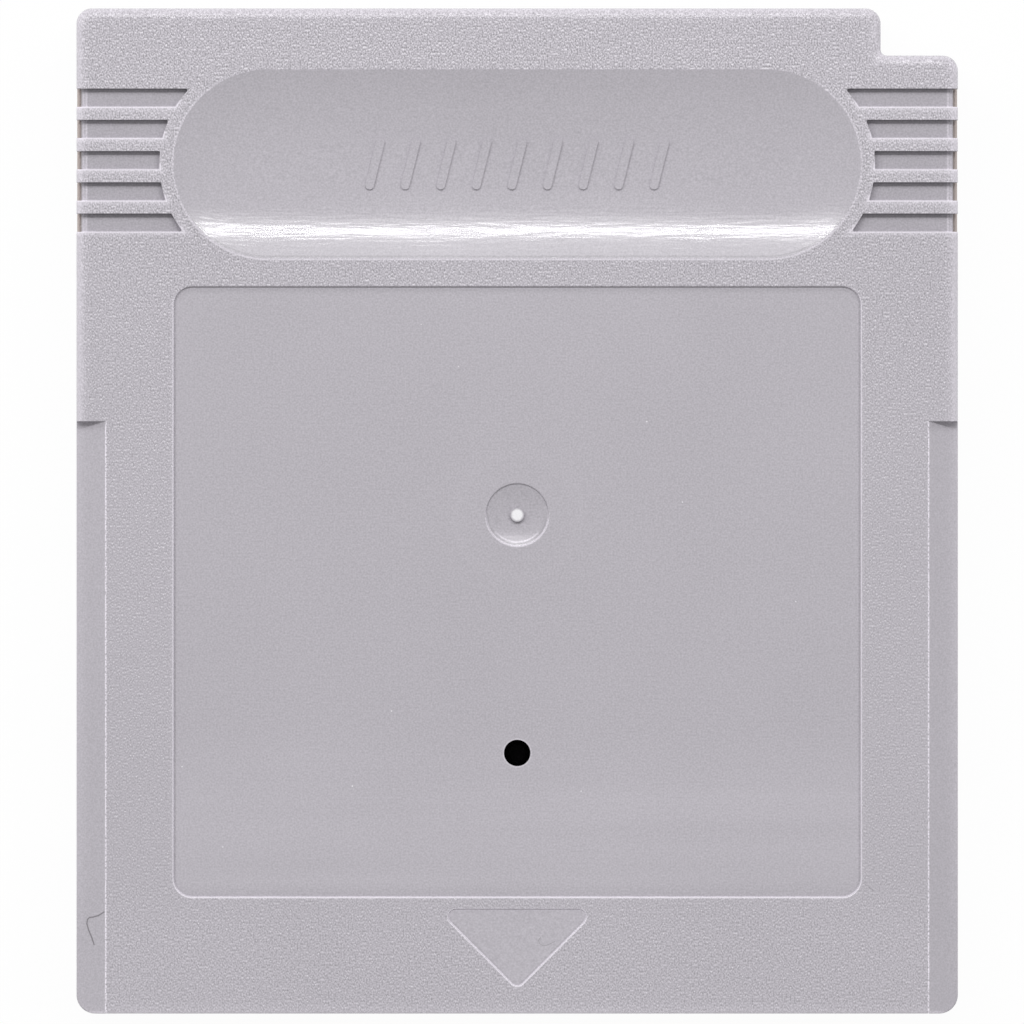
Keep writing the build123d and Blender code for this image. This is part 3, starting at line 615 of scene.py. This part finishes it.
class FrontFace:
    """The front half as wires: how far each point lies from the edges, and where each finish shows."""

    def __init__(self, point, case, tone, wear_and_painted_light, soft):
        self.flat = flatten(point)
        self.x, self.y, self.z = split(point)
        self.measure(case)
        self.find_finishes(case, wear_and_painted_light, soft)
        self.find_sides(case, tone, wear_and_painted_light, soft)

    def measure(self, case):
        """Distances outwards from the edges, less than zero inside them."""
        flat, x, y = self.flat, self.x, self.y
        label_middle = (case.label_top + case.label_bottom) / 2
        label_height = case.label_top - case.label_bottom
        self.label = box_distance(flat, label_middle, case.label_width, label_height, case.label_corner)
        end_radius = case.thumb_height / 2
        self.thumb = box_distance(flat, case.thumb_y, case.thumb_width, case.thumb_height, end_radius)
        self.arrow = arrow_distance(flat, case)
        self.gate_middle = flat.vector("DISTANCE", (0.0, case.gate_y, 0.0))
        self.gate = self.gate_middle - case.gate_radius
        self.hole = flat.vector("DISTANCE", (0.0, case.hole_y, 0.0)) - case.hole_radius
        self.groove_step = (y - case.groove_y) / case.groove_pitch
        self.last_groove = (case.groove_count - 1) / 2
        index = y.math("ROUND", self.groove_step).most(-self.last_groove).least(self.last_groove)
        self.groove_gap = self.groove_step - index
        self.groove_wall = abs(self.groove_gap) * case.groove_pitch - case.groove_width / 2
        self.groove = self.groove_wall.most(case.groove_end_gap - self.thumb)
        self.inset = front_high.x - abs(x)
        self.strip_floor = front_high.z - case.strip_drop
        strip = (self.inset - case.strip_width).most(y - case.strip_top)
        self.strip = strip.most(self.strip_floor - self.z)
        outline = box_distance(flat, 0.0, 2 * front_high.x, 2 * front_high.y, case.corner)
        notch_x = front_high.x - case.notch_width
        notch_y = front_high.y - case.notch_height
        self.outline = outline.most((x - notch_x).least(y - notch_y))

    def find_finishes(self, case, wear_and_painted_light, soft):
        """Where each finish shows, 1 on it and 0 off it."""
        self.in_label = self.label.across(soft, -soft)
        self.in_thumb = self.thumb.across(soft, -soft)
        self.in_arrow = self.arrow.across(soft, -soft)
        self.in_groove = self.groove.across(soft, -soft)
        self.in_strip = self.strip.across(soft, -soft)
        self.in_gate = self.gate.across(soft, -soft)
        self.in_nub = self.gate_middle.across(case.nub_radius, wear_and_painted_light.nub_core * case.nub_radius)
        self.in_front = self.z.across(self.strip_floor - wear_and_painted_light.front_fade, self.strip_floor)
        recesses = self.in_label.most(self.in_thumb).most(self.in_arrow)
        self.smooth = recesses.most(self.in_groove).most(self.in_strip)
        self.face = 1 - self.smooth

    def find_sides(self, case, tone, wear_and_painted_light, soft):
        """Upper and lower sides of the recesses, and the ends of the face, 1 on them and 0 off them."""
        y = self.y
        self.label_top = y.across(case.label_top - case.label_corner, case.label_top)
        self.label_low = y.across(case.label_bottom + case.label_corner, case.label_bottom)
        self.arrow_low = (case.arrow_tip + case.arrow_height - y).across(*wear_and_painted_light.arrow_band)
        self.thumb_top = (y - case.thumb_y).across(*wear_and_painted_light.thumb_top_band)
        self.thumb_low = (case.thumb_y - y).across(*wear_and_painted_light.thumb_low_band)
        self.groove_top = self.groove_gap.across(0.0, wear_and_painted_light.groove_half)
        self.groove_low = self.groove_gap.across(0.0, -wear_and_painted_light.groove_half)
        self.gate_low = (case.gate_y - y).across(*wear_and_painted_light.gate_band)
        self.crescent_low = (case.gate_y - y).across(*wear_and_painted_light.crescent_band)
        self.beside_strip = y.across(case.strip_top, case.strip_top - soft)
        self.face_low = y.across(*tone.low_band)
        self.face_top = y.across(*tone.top_band)
        lands = abs(self.groove_step).across(self.last_groove + tone.land_fade, self.last_groove)
        self.lands = lands * self.thumb.across(0.0, case.groove_end_gap) * self.face


def highlit_and_rubbed_edges(front, wear_and_painted_light, case, grain):
    """How far painted highlights, and along the outline some real rubbing, lighten the front half's edges,
    as a part of the plastic's own tone.
    """
    rim = wear_and_painted_light.rim_width
    # Painted highlight round the label recess, faint along its upper edge, and a painted glow on the face
    # beside it
    label = line_along(front.label, rim) * front.label_top.vary(wear_and_painted_light.label_rim, wear_and_painted_light.label_rim_top)
    label = label + front.label.across(*wear_and_painted_light.label_glow_band) * front.face * wear_and_painted_light.label_glow
    # Painted highlight along the arrow's sloping sides, and painted light along its upper side
    arrow = line_along(front.arrow, rim) * front.arrow_low.vary(wear_and_painted_light.arrow_rim_top, wear_and_painted_light.arrow_rim)
    # Painted highlight round the thumb recess's ends and along its lower edge, less along its upper edge
    thumb = front.thumb_low.vary(wear_and_painted_light.thumb_rim, wear_and_painted_light.thumb_rim_low) - front.thumb_top * wear_and_painted_light.thumb_rim
    thumb = line_along(front.thumb - wear_and_painted_light.thumb_rim_shift, rim) * thumb
    # Painted highlight along each groove's lower edge and on the land below it
    groove = line_along(front.groove, rim) * wear_and_painted_light.groove_rim
    groove = groove + front.groove.across(*wear_and_painted_light.groove_glow_band) * front.face * wear_and_painted_light.groove_glow
    groove = groove * front.groove_low
    # Painted highlights where the grooves run out through the sides, with two fine lines on the lips
    groove_end = front.inset.across(*wear_and_painted_light.groove_end_band) * wear_and_painted_light.groove_end
    for lip in wear_and_painted_light.groove_lips:
        groove_end = groove_end + abs(front.inset - lip).across(wear_and_painted_light.groove_lip_width, 0.0) * wear_and_painted_light.groove_lip
    groove_end = groove_end * front.in_groove
    # Painted highlight along the strips' upper edge, broken up by the grain
    strip = abs(front.inset - case.strip_width).across(wear_and_painted_light.strip_rim_width, 0.0) * front.beside_strip
    strip = strip * grain.across(start=0.2, end=0.6) * wear_and_painted_light.strip_rim
    # Painted highlight on the gate mark's lower rim and in a crescent low inside it
    gate = line_along(front.gate, rim) * front.gate_low * wear_and_painted_light.gate_rim
    crescent = abs(front.gate + wear_and_painted_light.crescent_inset).across(*wear_and_painted_light.crescent_width) * wear_and_painted_light.crescent
    crescent = (crescent + front.in_gate * wear_and_painted_light.crescent_fill) * front.crescent_low
    # Painted highlight round the screw's pilot hole
    hole = line_along(front.hole, rim) * wear_and_painted_light.hole_rim
    # Painted light along the outline that lifts the shade of the rounded edges, together with real rubbing
    # there
    edge = front.outline.across(-wear_and_painted_light.edge_reach, 0.0) ** wear_and_painted_light.edge_power
    edge = edge * front.face_low.vary(1.0, wear_and_painted_light.edge_low)
    edge = edge * (front.face * wear_and_painted_light.face_edge + front.in_strip * wear_and_painted_light.strip_edge)
    # Painted highlight along the sides above the strips, and painted light along the mouth
    side = front.inset.across(*wear_and_painted_light.side_edge_band) * front.face * (1 - front.beside_strip) * wear_and_painted_light.side_edge
    mouth = (front.y + front_high.y).across(*wear_and_painted_light.mouth_band) * wear_and_painted_light.mouth_rim
    return label + arrow + thumb + groove + groove_end + strip + gate + crescent + hole + edge + side + mouth


def shaded_feet(front, wear_and_painted_light, case):
    """How far painted shade darkens the feet of the recesses' walls and the grooves' floors; under the label
    recess's upper edge, painted light lifts the shadow.
    """
    rim = wear_and_painted_light.rim_width
    # Painted shade at the foot of the label recess's walls; under its upper edge painted light lifts the
    # shadow, and a soft painted shadow falls further in
    label = wear_and_painted_light.label_foot + front.label_top * (wear_and_painted_light.label_foot_top - wear_and_painted_light.label_foot)
    label = label + front.label_low * (wear_and_painted_light.label_foot_low - wear_and_painted_light.label_foot)
    label = label * front.label.across(*wear_and_painted_light.label_foot_band)
    label = label + front.label.across(*wear_and_painted_light.label_shade_band) * front.label_top * wear_and_painted_light.label_shade_top
    label = (label + front.label_low * wear_and_painted_light.label_shade_low) * front.in_label
    # Painted shade inside the arrow's sloping sides
    arrow = line_along(front.arrow + rim, rim) * front.arrow_low * wear_and_painted_light.arrow_foot
    # Painted shade just inside the thumb recess's lower edge
    thumb = line_along(front.thumb + rim, rim) * front.thumb_low * wear_and_painted_light.thumb_foot
    # Painted shade just inside the gate mark's lower rim
    gate = line_along(front.gate + rim, rim) * front.gate_low * wear_and_painted_light.gate_foot
    # Painted shadow below each groove's upper side, and painted shade on the groove floors
    groove = front.groove_wall.across(*wear_and_painted_light.groove_foot_band) * wear_and_painted_light.groove_foot
    groove = groove + front.groove_wall.across(*wear_and_painted_light.groove_shade_band) * wear_and_painted_light.groove_shade
    groove = (groove * front.groove_top + wear_and_painted_light.groove_floor) * front.in_groove
    # Painted shadow below the strips' upper end
    strip = (case.strip_top - front.y).across(*wear_and_painted_light.strip_foot_band) * front.in_strip * wear_and_painted_light.strip_foot
    return label + arrow + thumb + gate + groove + strip


def stray_marks(front, wear_and_painted_light):
    """Hairs and a scratch on the front face, 1 on them and 0 off them."""
    nearest = line_distance(front.flat, HAIR)
    for thin_mark in (HOOKED_HAIR, SCRATCH):
        nearest = nearest.least(line_distance(front.flat, thin_mark) + wear_and_painted_light.mark_thin)
    return nearest.across(*wear_and_painted_light.mark_band) * front.in_front


class CARTRIDGE_OT_front_shell(bpy.types.Operator):
    """Finish the front half: grained face, satin recesses and a polished thumb recess"""

    bl_idname = "cartridge.front_shell"
    bl_label = "Front half"

    def execute(self, context):
        case = context.scene.cartridge_case
        plastic = context.scene.cartridge_plastic
        tone = context.scene.cartridge_tone
        wear_and_painted_light = context.scene.cartridge_wear
        material, point = new_material("front_shell_plastic")
        front = FrontFace(point, case, tone, wear_and_painted_light, plastic.edge_softness)

        grain = noise(point, plastic.grain_size, detail=0.0, stretch=GRAIN_STRETCH)
        satin = noise(point, plastic.satin_size, detail=0.0)
        polish = noise(point, plastic.polish_size, detail=1.0, stretch=POLISH_STRETCH)
        streak = noise(point, plastic.streak_size, detail=1.0, stretch=STREAK_STRETCH)
        cloud = noise(point, plastic.cloud_size, detail=1.0) - 0.5
        sway = noise(point, plastic.sway_size, detail=0.0)

        # Where painted highlights and rubbing lie on the edges, the grain is worn flat
        rubbed = highlit_and_rubbed_edges(front, wear_and_painted_light, case, grain)
        worn_flat = (rubbed * wear_and_painted_light.flatten).least(1.0)
        contrast = tone.grain + front.y.across(*tone.grain_band) * tone.grain_top
        contrast = contrast + front.face_low * tone.grain_low
        tips = (grain - 0.5) * contrast * worn_flat.vary(1.0, wear_and_painted_light.tips_left)

        light = tone.plain + cloud * tone.cloud
        light = light + front.face * (tone.face + front.face_low * tone.face_low + tips)
        # Painted light: the grained face is lighter towards the top
        light = light + front.face * front.face_top * tone.face_top + front.lands * tone.land
        light = light + front.in_thumb * tone.thumb + front.in_arrow * tone.arrow
        # Painted light on the sloping strips lifts the shade of their slope
        light = light + front.in_strip * tone.strip + front.smooth * (satin - 0.5) * tone.satin
        streaked = front.in_label * front.y.across(*tone.streak_band)
        light = light + streaked * streak.vary(tone.streak_low, tone.streak_high)
        halo = abs(front.gate - case.gate_radius).across(*tone.halo_band)
        # Painted shade darkens the feet of walls, and painted highlights with some real rubbing lighten the
        # edges
        light = light + halo * tone.halo - shaded_feet(front, wear_and_painted_light, case)
        light = light * (1 + rubbed * front.in_front)

        colour = light.shade(plastic.colour)
        colour = (stray_marks(front, wear_and_painted_light) * wear_and_painted_light.mark).blend(colour, plastic.grime)
        white = front.in_label * specks(point, wear_and_painted_light.speck_spacing, wear_and_painted_light.speck_radius) * wear_and_painted_light.speck
        # Painted highlight: the nub is painted white, most at its core
        white = white.most(front.in_nub * satin.vary(wear_and_painted_light.nub_low, wear_and_painted_light.nub_high))
        colour = white.blend(colour, plastic.speck_and_highlight_white)

        roughness = front.face * plastic.grain_roughness
        roughness = roughness + (front.smooth - front.in_thumb) * plastic.satin_roughness
        roughness = roughness + front.in_thumb * (plastic.thumb_roughness + cloud * plastic.thumb_change)
        roughness = roughness - front.in_gate * plastic.gate_polish
        grained = front.face * worn_flat.vary(1.0, wear_and_painted_light.grain_left)
        polish_relief = relief(polish + sway * plastic.sway_height, plastic.polish_height)
        normal = grained.blend_normals(polish_relief, relief(grain, plastic.grain_height))
        close_material(point, {"Base Color": colour, "Roughness": roughness, "Normal": normal})
        dress("front_shell", material)
        return {"FINISHED"}


class CARTRIDGE_OT_rear_shell(bpy.types.Operator):
    """Finish the rear half: the same grained plastic, rubbed in fine lines, with dust in the seam"""

    bl_idname = "cartridge.rear_shell"
    bl_label = "Rear half"

    def execute(self, context):
        case = context.scene.cartridge_case
        plastic = context.scene.cartridge_plastic
        tone = context.scene.cartridge_tone
        wear_and_painted_light = context.scene.cartridge_wear
        material, point = new_material("rear_shell_plastic")
        x, _, z = split(point)
        grain = noise(point, plastic.grain_size, detail=0.0, stretch=GRAIN_STRETCH)
        cloud = noise(point, plastic.cloud_size, detail=1.0) - 0.5
        rubbed = noise(point, plastic.rub_size, detail=4.0, stretch=RUB_STRETCH).across(start=0.62, end=0.75)
        light = tone.plain_rear + cloud * tone.cloud + (grain - 0.5) * tone.grain_rear + rubbed * tone.rub
        # Dust in the seam, with painted shade making it darker deeper in from the side
        seam = (case.parting - z).across(*wear_and_painted_light.seam_band)
        seam_light = (front_high.x - abs(x)).across(wear_and_painted_light.seam_reach, 0.0).vary(tone.seam_low, tone.seam_high)
        close_material(
            point,
            {
                "Base Color": seam.blend(light.shade(plastic.colour), seam_light.shade(plastic.dust)),
                "Roughness": plastic.grain_roughness - rubbed * plastic.rub_polish,
                "Normal": relief(grain, plastic.grain_height),
            },
        )
        dress("rear_shell", material)
        return {"FINISHED"}


class CARTRIDGE_OT_case_screw(bpy.types.Operator):
    """Finish the case screw: turned steel, its tip painted near black as painted shade down the pilot hole
    """

    bl_idname = "cartridge.case_screw"
    bl_label = "Case screw"

    def execute(self, context):
        case = context.scene.cartridge_case
        inside = context.scene.cartridge_inside
        material, point = new_material("screw_plating")
        z = split(point)[2]
        turned = flatten(point).vector("DISTANCE", (0.0, case.hole_y, 0.0)).wave(inside.turning_size)
        cloud = noise(point, spacing=0.8 * MM, detail=3.0)
        # Painted shade: the tip seen down the pilot hole is painted near black
        tip = (screw_high.z - z).across(*inside.tip_band)
        plated = cloud.vary(low=0.85, high=1.05).shade(inside.steel)
        close_material(
            point,
            {
                "Base Color": tip.blend(plated, inside.painted_tip_shade),
                "Metallic": 1 - tip,
                "Roughness": cloud.vary(low=0.28, high=0.4) + tip * inside.tip_roughness,
                "Specular IOR Level": inside.tip_shine,
                "Normal": relief(turned + cloud, depth=0.001 * MM),
            },
        )
        dress("case_screw", material)
        return {"FINISHED"}


class CARTRIDGE_OT_circuit_board(bpy.types.Operator):
    """Finish the board: solder resist over tracks, and bare laminate round the contacts"""

    bl_idname = "cartridge.circuit_board"
    bl_label = "Circuit board"

    def execute(self, context):
        inside = context.scene.cartridge_inside
        material, point = new_material("board_resist")
        x, y, z = split(point)
        step = x / inside.contact_pitch
        track_gap = abs(step - x.math("FLOOR", step) - 0.5) * inside.contact_pitch
        track = track_gap.across(*inside.track_band)
        weave = x.wave(inside.weave_size) * y.wave(inside.weave_size)
        depth = (board_high.z - board_low.z) / 2 - abs(z - (board_low.z + board_high.z) / 2)
        edge = depth.across(*inside.edge_band)
        bare = (y - contacts_high.y).across(*inside.bare_band).most(edge)
        cloud = noise(point, spacing=3.0 * MM, detail=3.0)
        film = track.blend(inside.resist, inside.track)
        laminate = (cloud.vary(low=0.92, high=1.02) + weave * inside.weave_tone).shade(inside.laminate)
        close_material(
            point,
            {
                "Base Color": bare.blend(film, laminate),
                "Roughness": cloud.vary(low=0.32, high=0.4) + bare * inside.bare_roughness,
                "Normal": relief(track * (1 - bare) + weave * inside.weave_height, inside.track_height),
            },
        )
        dress("circuit_board", material)
        return {"FINISHED"}


class CARTRIDGE_OT_edge_contacts(bpy.types.Operator):
    """Finish the edge contacts: gold with fine scratches from being pushed in"""

    bl_idname = "cartridge.edge_contacts"
    bl_label = "Edge contacts"

    def execute(self, context):
        inside = context.scene.cartridge_inside
        material, point = new_material("contact_plating")
        scratch = noise(point, spacing=0.08 * MM, detail=3.0, stretch=SCRATCH_STRETCH)
        cloud = noise(point, spacing=1.5 * MM, detail=3.0)
        rubbed = scratch.across(start=0.55, end=0.75)
        light = cloud.vary(low=0.9, high=1.06) + rubbed * inside.scratch_tone
        close_material(
            point,
            {
                "Base Color": light.shade(inside.gold),
                "Metallic": 1.0,
                "Roughness": cloud.vary(low=0.24, high=0.34) + rubbed * inside.scratch_roughness,
                "Normal": relief(scratch, depth=0.0015 * MM),
            },
        )
        dress("edge_contacts", material)
        return {"FINISHED"}


class CARTRIDGE_OT_chips(bpy.types.Operator):
    """Finish the chips' bodies: black moulded resin with a matt grain"""

    bl_idname = "cartridge.chips"
    bl_label = "Chips"

    def execute(self, context):
        inside = context.scene.cartridge_inside
        material, point = new_material("chip_resin")
        grain = noise(point, spacing=0.12 * MM, detail=2.0)
        cloud = noise(point, spacing=4.0 * MM, detail=2.0)
        light = cloud.vary(low=0.75, high=1.05) + grain * inside.resin_grain
        close_material(
            point,
            {
                "Base Color": light.shade(inside.resin),
                "Roughness": grain.vary(low=0.5, high=0.7),
                "Normal": relief(grain, depth=0.008 * MM),
            },
        )
        for chip in CHIPS:
            dress(chip, material)
        return {"FINISHED"}


class CARTRIDGE_OT_leads(bpy.types.Operator):
    """Finish the chips' leads: tin plating, duller towards the solder"""

    bl_idname = "cartridge.leads"
    bl_label = "Leads"

    def execute(self, context):
        inside = context.scene.cartridge_inside
        material, point = new_material("lead_plating")
        z = split(point)[2]
        cloud = noise(point, spacing=0.3 * MM, detail=3.0)
        solder = (board_low.z - z).across(*inside.solder_band)
        light = cloud.vary(low=0.86, high=1.06) - solder * inside.solder_tone
        close_material(
            point,
            {
                "Base Color": light.shade(inside.tin),
                "Metallic": 1.0,
                "Roughness": cloud.vary(low=0.3, high=0.42) + solder * inside.solder_roughness,
                "Normal": relief(cloud, depth=0.004 * MM),
            },
        )
        for chip in CHIPS:
            dress(f"{chip}_leads", material)
        return {"FINISHED"}


class CARTRIDGE_OT_coin_cell(bpy.types.Operator):
    """Finish the cell and its tabs: spun steel, and rolled strip with weld spots"""

    bl_idname = "cartridge.coin_cell"
    bl_label = "Cell and tabs"

    def execute(self, context):
        inside = context.scene.cartridge_inside
        middle = ((cell_low.x + cell_high.x) / 2, (cell_low.y + cell_high.y) / 2, 0.0)

        material, point = new_material("cell_steel")
        z = split(point)[2]
        around = flatten(point).vector("DISTANCE", middle)
        ring = point.node("ShaderNodeCombineXYZ", sockets={"X": around, "Z": z})
        spun = noise(ring, spacing=0.12 * MM, detail=3.0)
        close_material(
            point,
            {
                "Base Color": spun.vary(low=0.88, high=1.08).shade(inside.steel),
                "Metallic": 1.0,
                "Roughness": spun.vary(low=0.26, high=0.4),
                "Normal": relief(spun, depth=0.0015 * MM),
            },
        )
        dress("coin_cell", material)

        material, point = new_material("tab_nickel")
        rolled = noise(point, spacing=0.1 * MM, detail=3.0, stretch=ROLL_STRETCH)
        quarter = flatten(point).vector("SUBTRACT", middle).vector("ABSOLUTE")
        weld = quarter.vector("DISTANCE", (inside.weld_x, inside.weld_y, 0.0)).across(*inside.weld_band)
        light = rolled.vary(low=0.9, high=1.06) - weld * inside.weld_tone
        close_material(
            point,
            {
                "Base Color": light.shade(inside.nickel),
                "Metallic": 1.0,
                "Roughness": rolled.vary(low=0.3, high=0.42) + weld * inside.weld_roughness,
                "Normal": relief(rolled * inside.roll_height - weld, inside.weld_depth),
            },
        )
        for name in ("cell_tab_plus", "cell_tab_minus"):
            dress(name, material)
        return {"FINISHED"}


class CARTRIDGE_OT_small_parts(bpy.types.Operator):
    """Finish the capacitors and resistors: fired bodies with tinned ends"""

    bl_idname = "cartridge.small_parts"
    bl_label = "Capacitors and resistors"

    def execute(self, context):
        inside = context.scene.cartridge_inside
        bodies = {"capacitor": inside.capacitor, "resistor": inside.resistor}
        for kind, body in bodies.items():
            material, point = new_material(f"{kind}_ceramic")
            along = split(point.node("ShaderNodeTexCoord", output="Generated"))[0]
            end = abs(along - 0.5).across(*inside.end_band)
            cloud = noise(point, spacing=0.25 * MM, detail=3.0)
            fired = cloud.vary(low=0.86, high=1.14).shade(body)
            close_material(
                point,
                {
                    "Base Color": end.blend(fired, inside.tin),
                    "Metallic": end,
                    "Roughness": cloud.vary(low=0.34, high=0.5),
                    "Normal": relief(cloud, depth=0.006 * MM),
                },
            )
            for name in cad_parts:
                if name.startswith(kind):
                    dress(name, material)
        return {"FINISHED"}


def seen(start):
    """1 for rays that show the background: straight to the camera, mirrored or through glass."""
    first = start.node("ShaderNodeLightPath", output="Is Camera Ray")
    outputs = first.socket.node.outputs
    glossy = Wire(start.tree, outputs["Is Glossy Ray"])
    through = Wire(start.tree, outputs["Is Transmission Ray"])
    return first.most(glossy).most(through)


def add_floor(scene, stage):
    """A plain pale floor that keeps the shadow, white to the camera and clear from below."""
    material, point = new_material("floor_white")
    pale = noise(point, spacing=0.05, detail=3.0).vary(low=0.995, high=1.005)
    matt = point.node("ShaderNodeBsdfDiffuse", sockets={"Color": pale.shade((stage.floor_tone,) * 3)})
    white = point.node("ShaderNodeEmission", sockets={"Strength": 1.0})
    lift = seen(point) * stage.floor_glow
    lifted = point.node("ShaderNodeMixShader", sockets={0: lift, 1: matt, 2: white})
    below = point.node("ShaderNodeNewGeometry", output="Backfacing")
    clear = point.node("ShaderNodeBsdfTransparent")
    surface = point.node("ShaderNodeMixShader", sockets={0: below, 1: lifted, 2: clear})
    point.node("ShaderNodeOutputMaterial", sockets={"Surface": surface})

    half = stage.floor_size / 2
    corners = [(-half, -half, 0.0), (half, -half, 0.0), (half, half, 0.0), (-half, half, 0.0)]
    mesh = bpy.data.meshes.new("floor")
    mesh.from_pydata(corners, [], [(0, 1, 2, 3)])
    mesh.materials.append(material)
    floor = bpy.data.objects.new("floor", mesh)
    floor.location.z = cad_low.z - stage.floor_gap
    scene.collection.objects.link(floor)


def add_lamp(scene, stage, name, lean, lamp_width, brightness):
    """A long lamp across the cartridge, leaning towards the thumb recess and turned to the front face."""
    lamp = bpy.data.lights.new(name, "AREA")
    lamp.shape = "RECTANGLE"
    lamp.size = stage.key_length
    lamp.size_y = lamp_width
    # A flat lamp that looks this bright gives off pi times its brightness for each unit of its area
    lamp.energy = brightness * math.pi * lamp.size * lamp.size_y
    holder = bpy.data.objects.new(name, lamp)
    along = stage.key_distance * math.sin(lean)
    above = stage.key_distance * math.cos(lean)
    holder.location = (-stage.key_shift, along, cad_high.z + above)
    holder.rotation_euler = (-lean, 0.0, 0.0)
    holder.visible_camera = False
    scene.collection.objects.link(holder)


def add_surroundings(scene, stage):
    """Even light from all round, white where it is seen."""
    world = bpy.data.worlds.new("studio")
    world.use_nodes = True
    world.node_tree.nodes.clear()
    start = Wire(world.node_tree)
    brightness = seen(start).vary(stage.fill_level, 1.0)
    white = (1.0, 1.0, 1.0, 1.0)
    around = start.node("ShaderNodeBackground", sockets={"Color": white, "Strength": brightness})
    start.node("ShaderNodeOutputWorld", sockets={"Surface": around})
    scene.world = world


def add_camera(scene, stage):
    """A camera straight above, with a long lens that keeps the sides upright."""
    lens = bpy.data.cameras.new("camera")
    lens.lens = stage.lens
    distance = stage.view_width * lens.lens / lens.sensor_width
    lens.clip_start = stage.clip_start
    lens.clip_end = 3 * distance
    camera = bpy.data.objects.new("camera", lens)
    camera.location = (stage.aim_x, stage.aim_y, cad_high.z + distance)
    scene.collection.objects.link(camera)
    scene.camera = camera


class CARTRIDGE_OT_stage(bpy.types.Operator):
    """Set up the floor, the lamps, the light from all round and the camera"""

    bl_idname = "cartridge.stage"
    bl_label = "Stage"

    def execute(self, context):
        scene = context.scene
        stage = scene.cartridge_stage
        add_floor(scene, stage)
        add_lamp(scene, stage, "key_lamp", stage.key_angle, stage.key_width, stage.key_level)
        add_lamp(scene, stage, "glow_lamp", stage.glow_angle, stage.glow_width, stage.glow_level)
        add_surroundings(scene, stage)
        add_camera(scene, stage)
        scene.view_settings.view_transform = "Standard"
        return {"FINISHED"}


class CARTRIDGE_PT_panel(bpy.types.Panel):
    """Sidebar list of the cartridge's pieces, its stage and their settings"""

    bl_idname = "CARTRIDGE_PT_panel"
    bl_label = "Game cartridge"
    bl_space_type = "VIEW_3D"
    bl_region_type = "UI"
    bl_category = "Cartridge"

    def draw(self, context):
        for operator in OPERATORS:
            self.layout.operator(operator.bl_idname)
        for name in SETTINGS:
            settings = getattr(context.scene, name)
            box = self.layout.box()
            for key in settings.bl_rna.properties.keys():
                if key not in ("rna_type", "name"):
                    box.prop(settings, key)


SETTINGS = {
    "cartridge_case": CartridgeCase,
    "cartridge_plastic": CartridgePlastic,
    "cartridge_tone": CartridgeTone,
    "cartridge_wear": CartridgeWearAndPaintedLight,
    "cartridge_inside": CartridgeInside,
    "cartridge_stage": CartridgeStage,
}
OPERATORS = (
    CARTRIDGE_OT_front_shell,
    CARTRIDGE_OT_rear_shell,
    CARTRIDGE_OT_case_screw,
    CARTRIDGE_OT_circuit_board,
    CARTRIDGE_OT_edge_contacts,
    CARTRIDGE_OT_chips,
    CARTRIDGE_OT_leads,
    CARTRIDGE_OT_coin_cell,
    CARTRIDGE_OT_small_parts,
    CARTRIDGE_OT_stage,
)


def register():
    for name, group in SETTINGS.items():
        bpy.utils.register_class(group)
        setattr(bpy.types.Scene, name, bpy.props.PointerProperty(type=group))
    for operator in OPERATORS:
        bpy.utils.register_class(operator)
    bpy.utils.register_class(CARTRIDGE_PT_panel)


def unregister():
    bpy.utils.unregister_class(CARTRIDGE_PT_panel)
    for operator in reversed(OPERATORS):
        bpy.utils.unregister_class(operator)
    for name, group in SETTINGS.items():
        delattr(bpy.types.Scene, name)
        bpy.utils.unregister_class(group)


def main():
    """Finish every piece in order and set the stage."""
    register()
    bpy.ops.cartridge.front_shell()
    bpy.ops.cartridge.rear_shell()
    bpy.ops.cartridge.case_screw()
    bpy.ops.cartridge.circuit_board()
    bpy.ops.cartridge.edge_contacts()
    bpy.ops.cartridge.chips()
    bpy.ops.cartridge.leads()
    bpy.ops.cartridge.coin_cell()
    bpy.ops.cartridge.small_parts()
    bpy.ops.cartridge.stage()


if __name__ == "__main__":
    main()
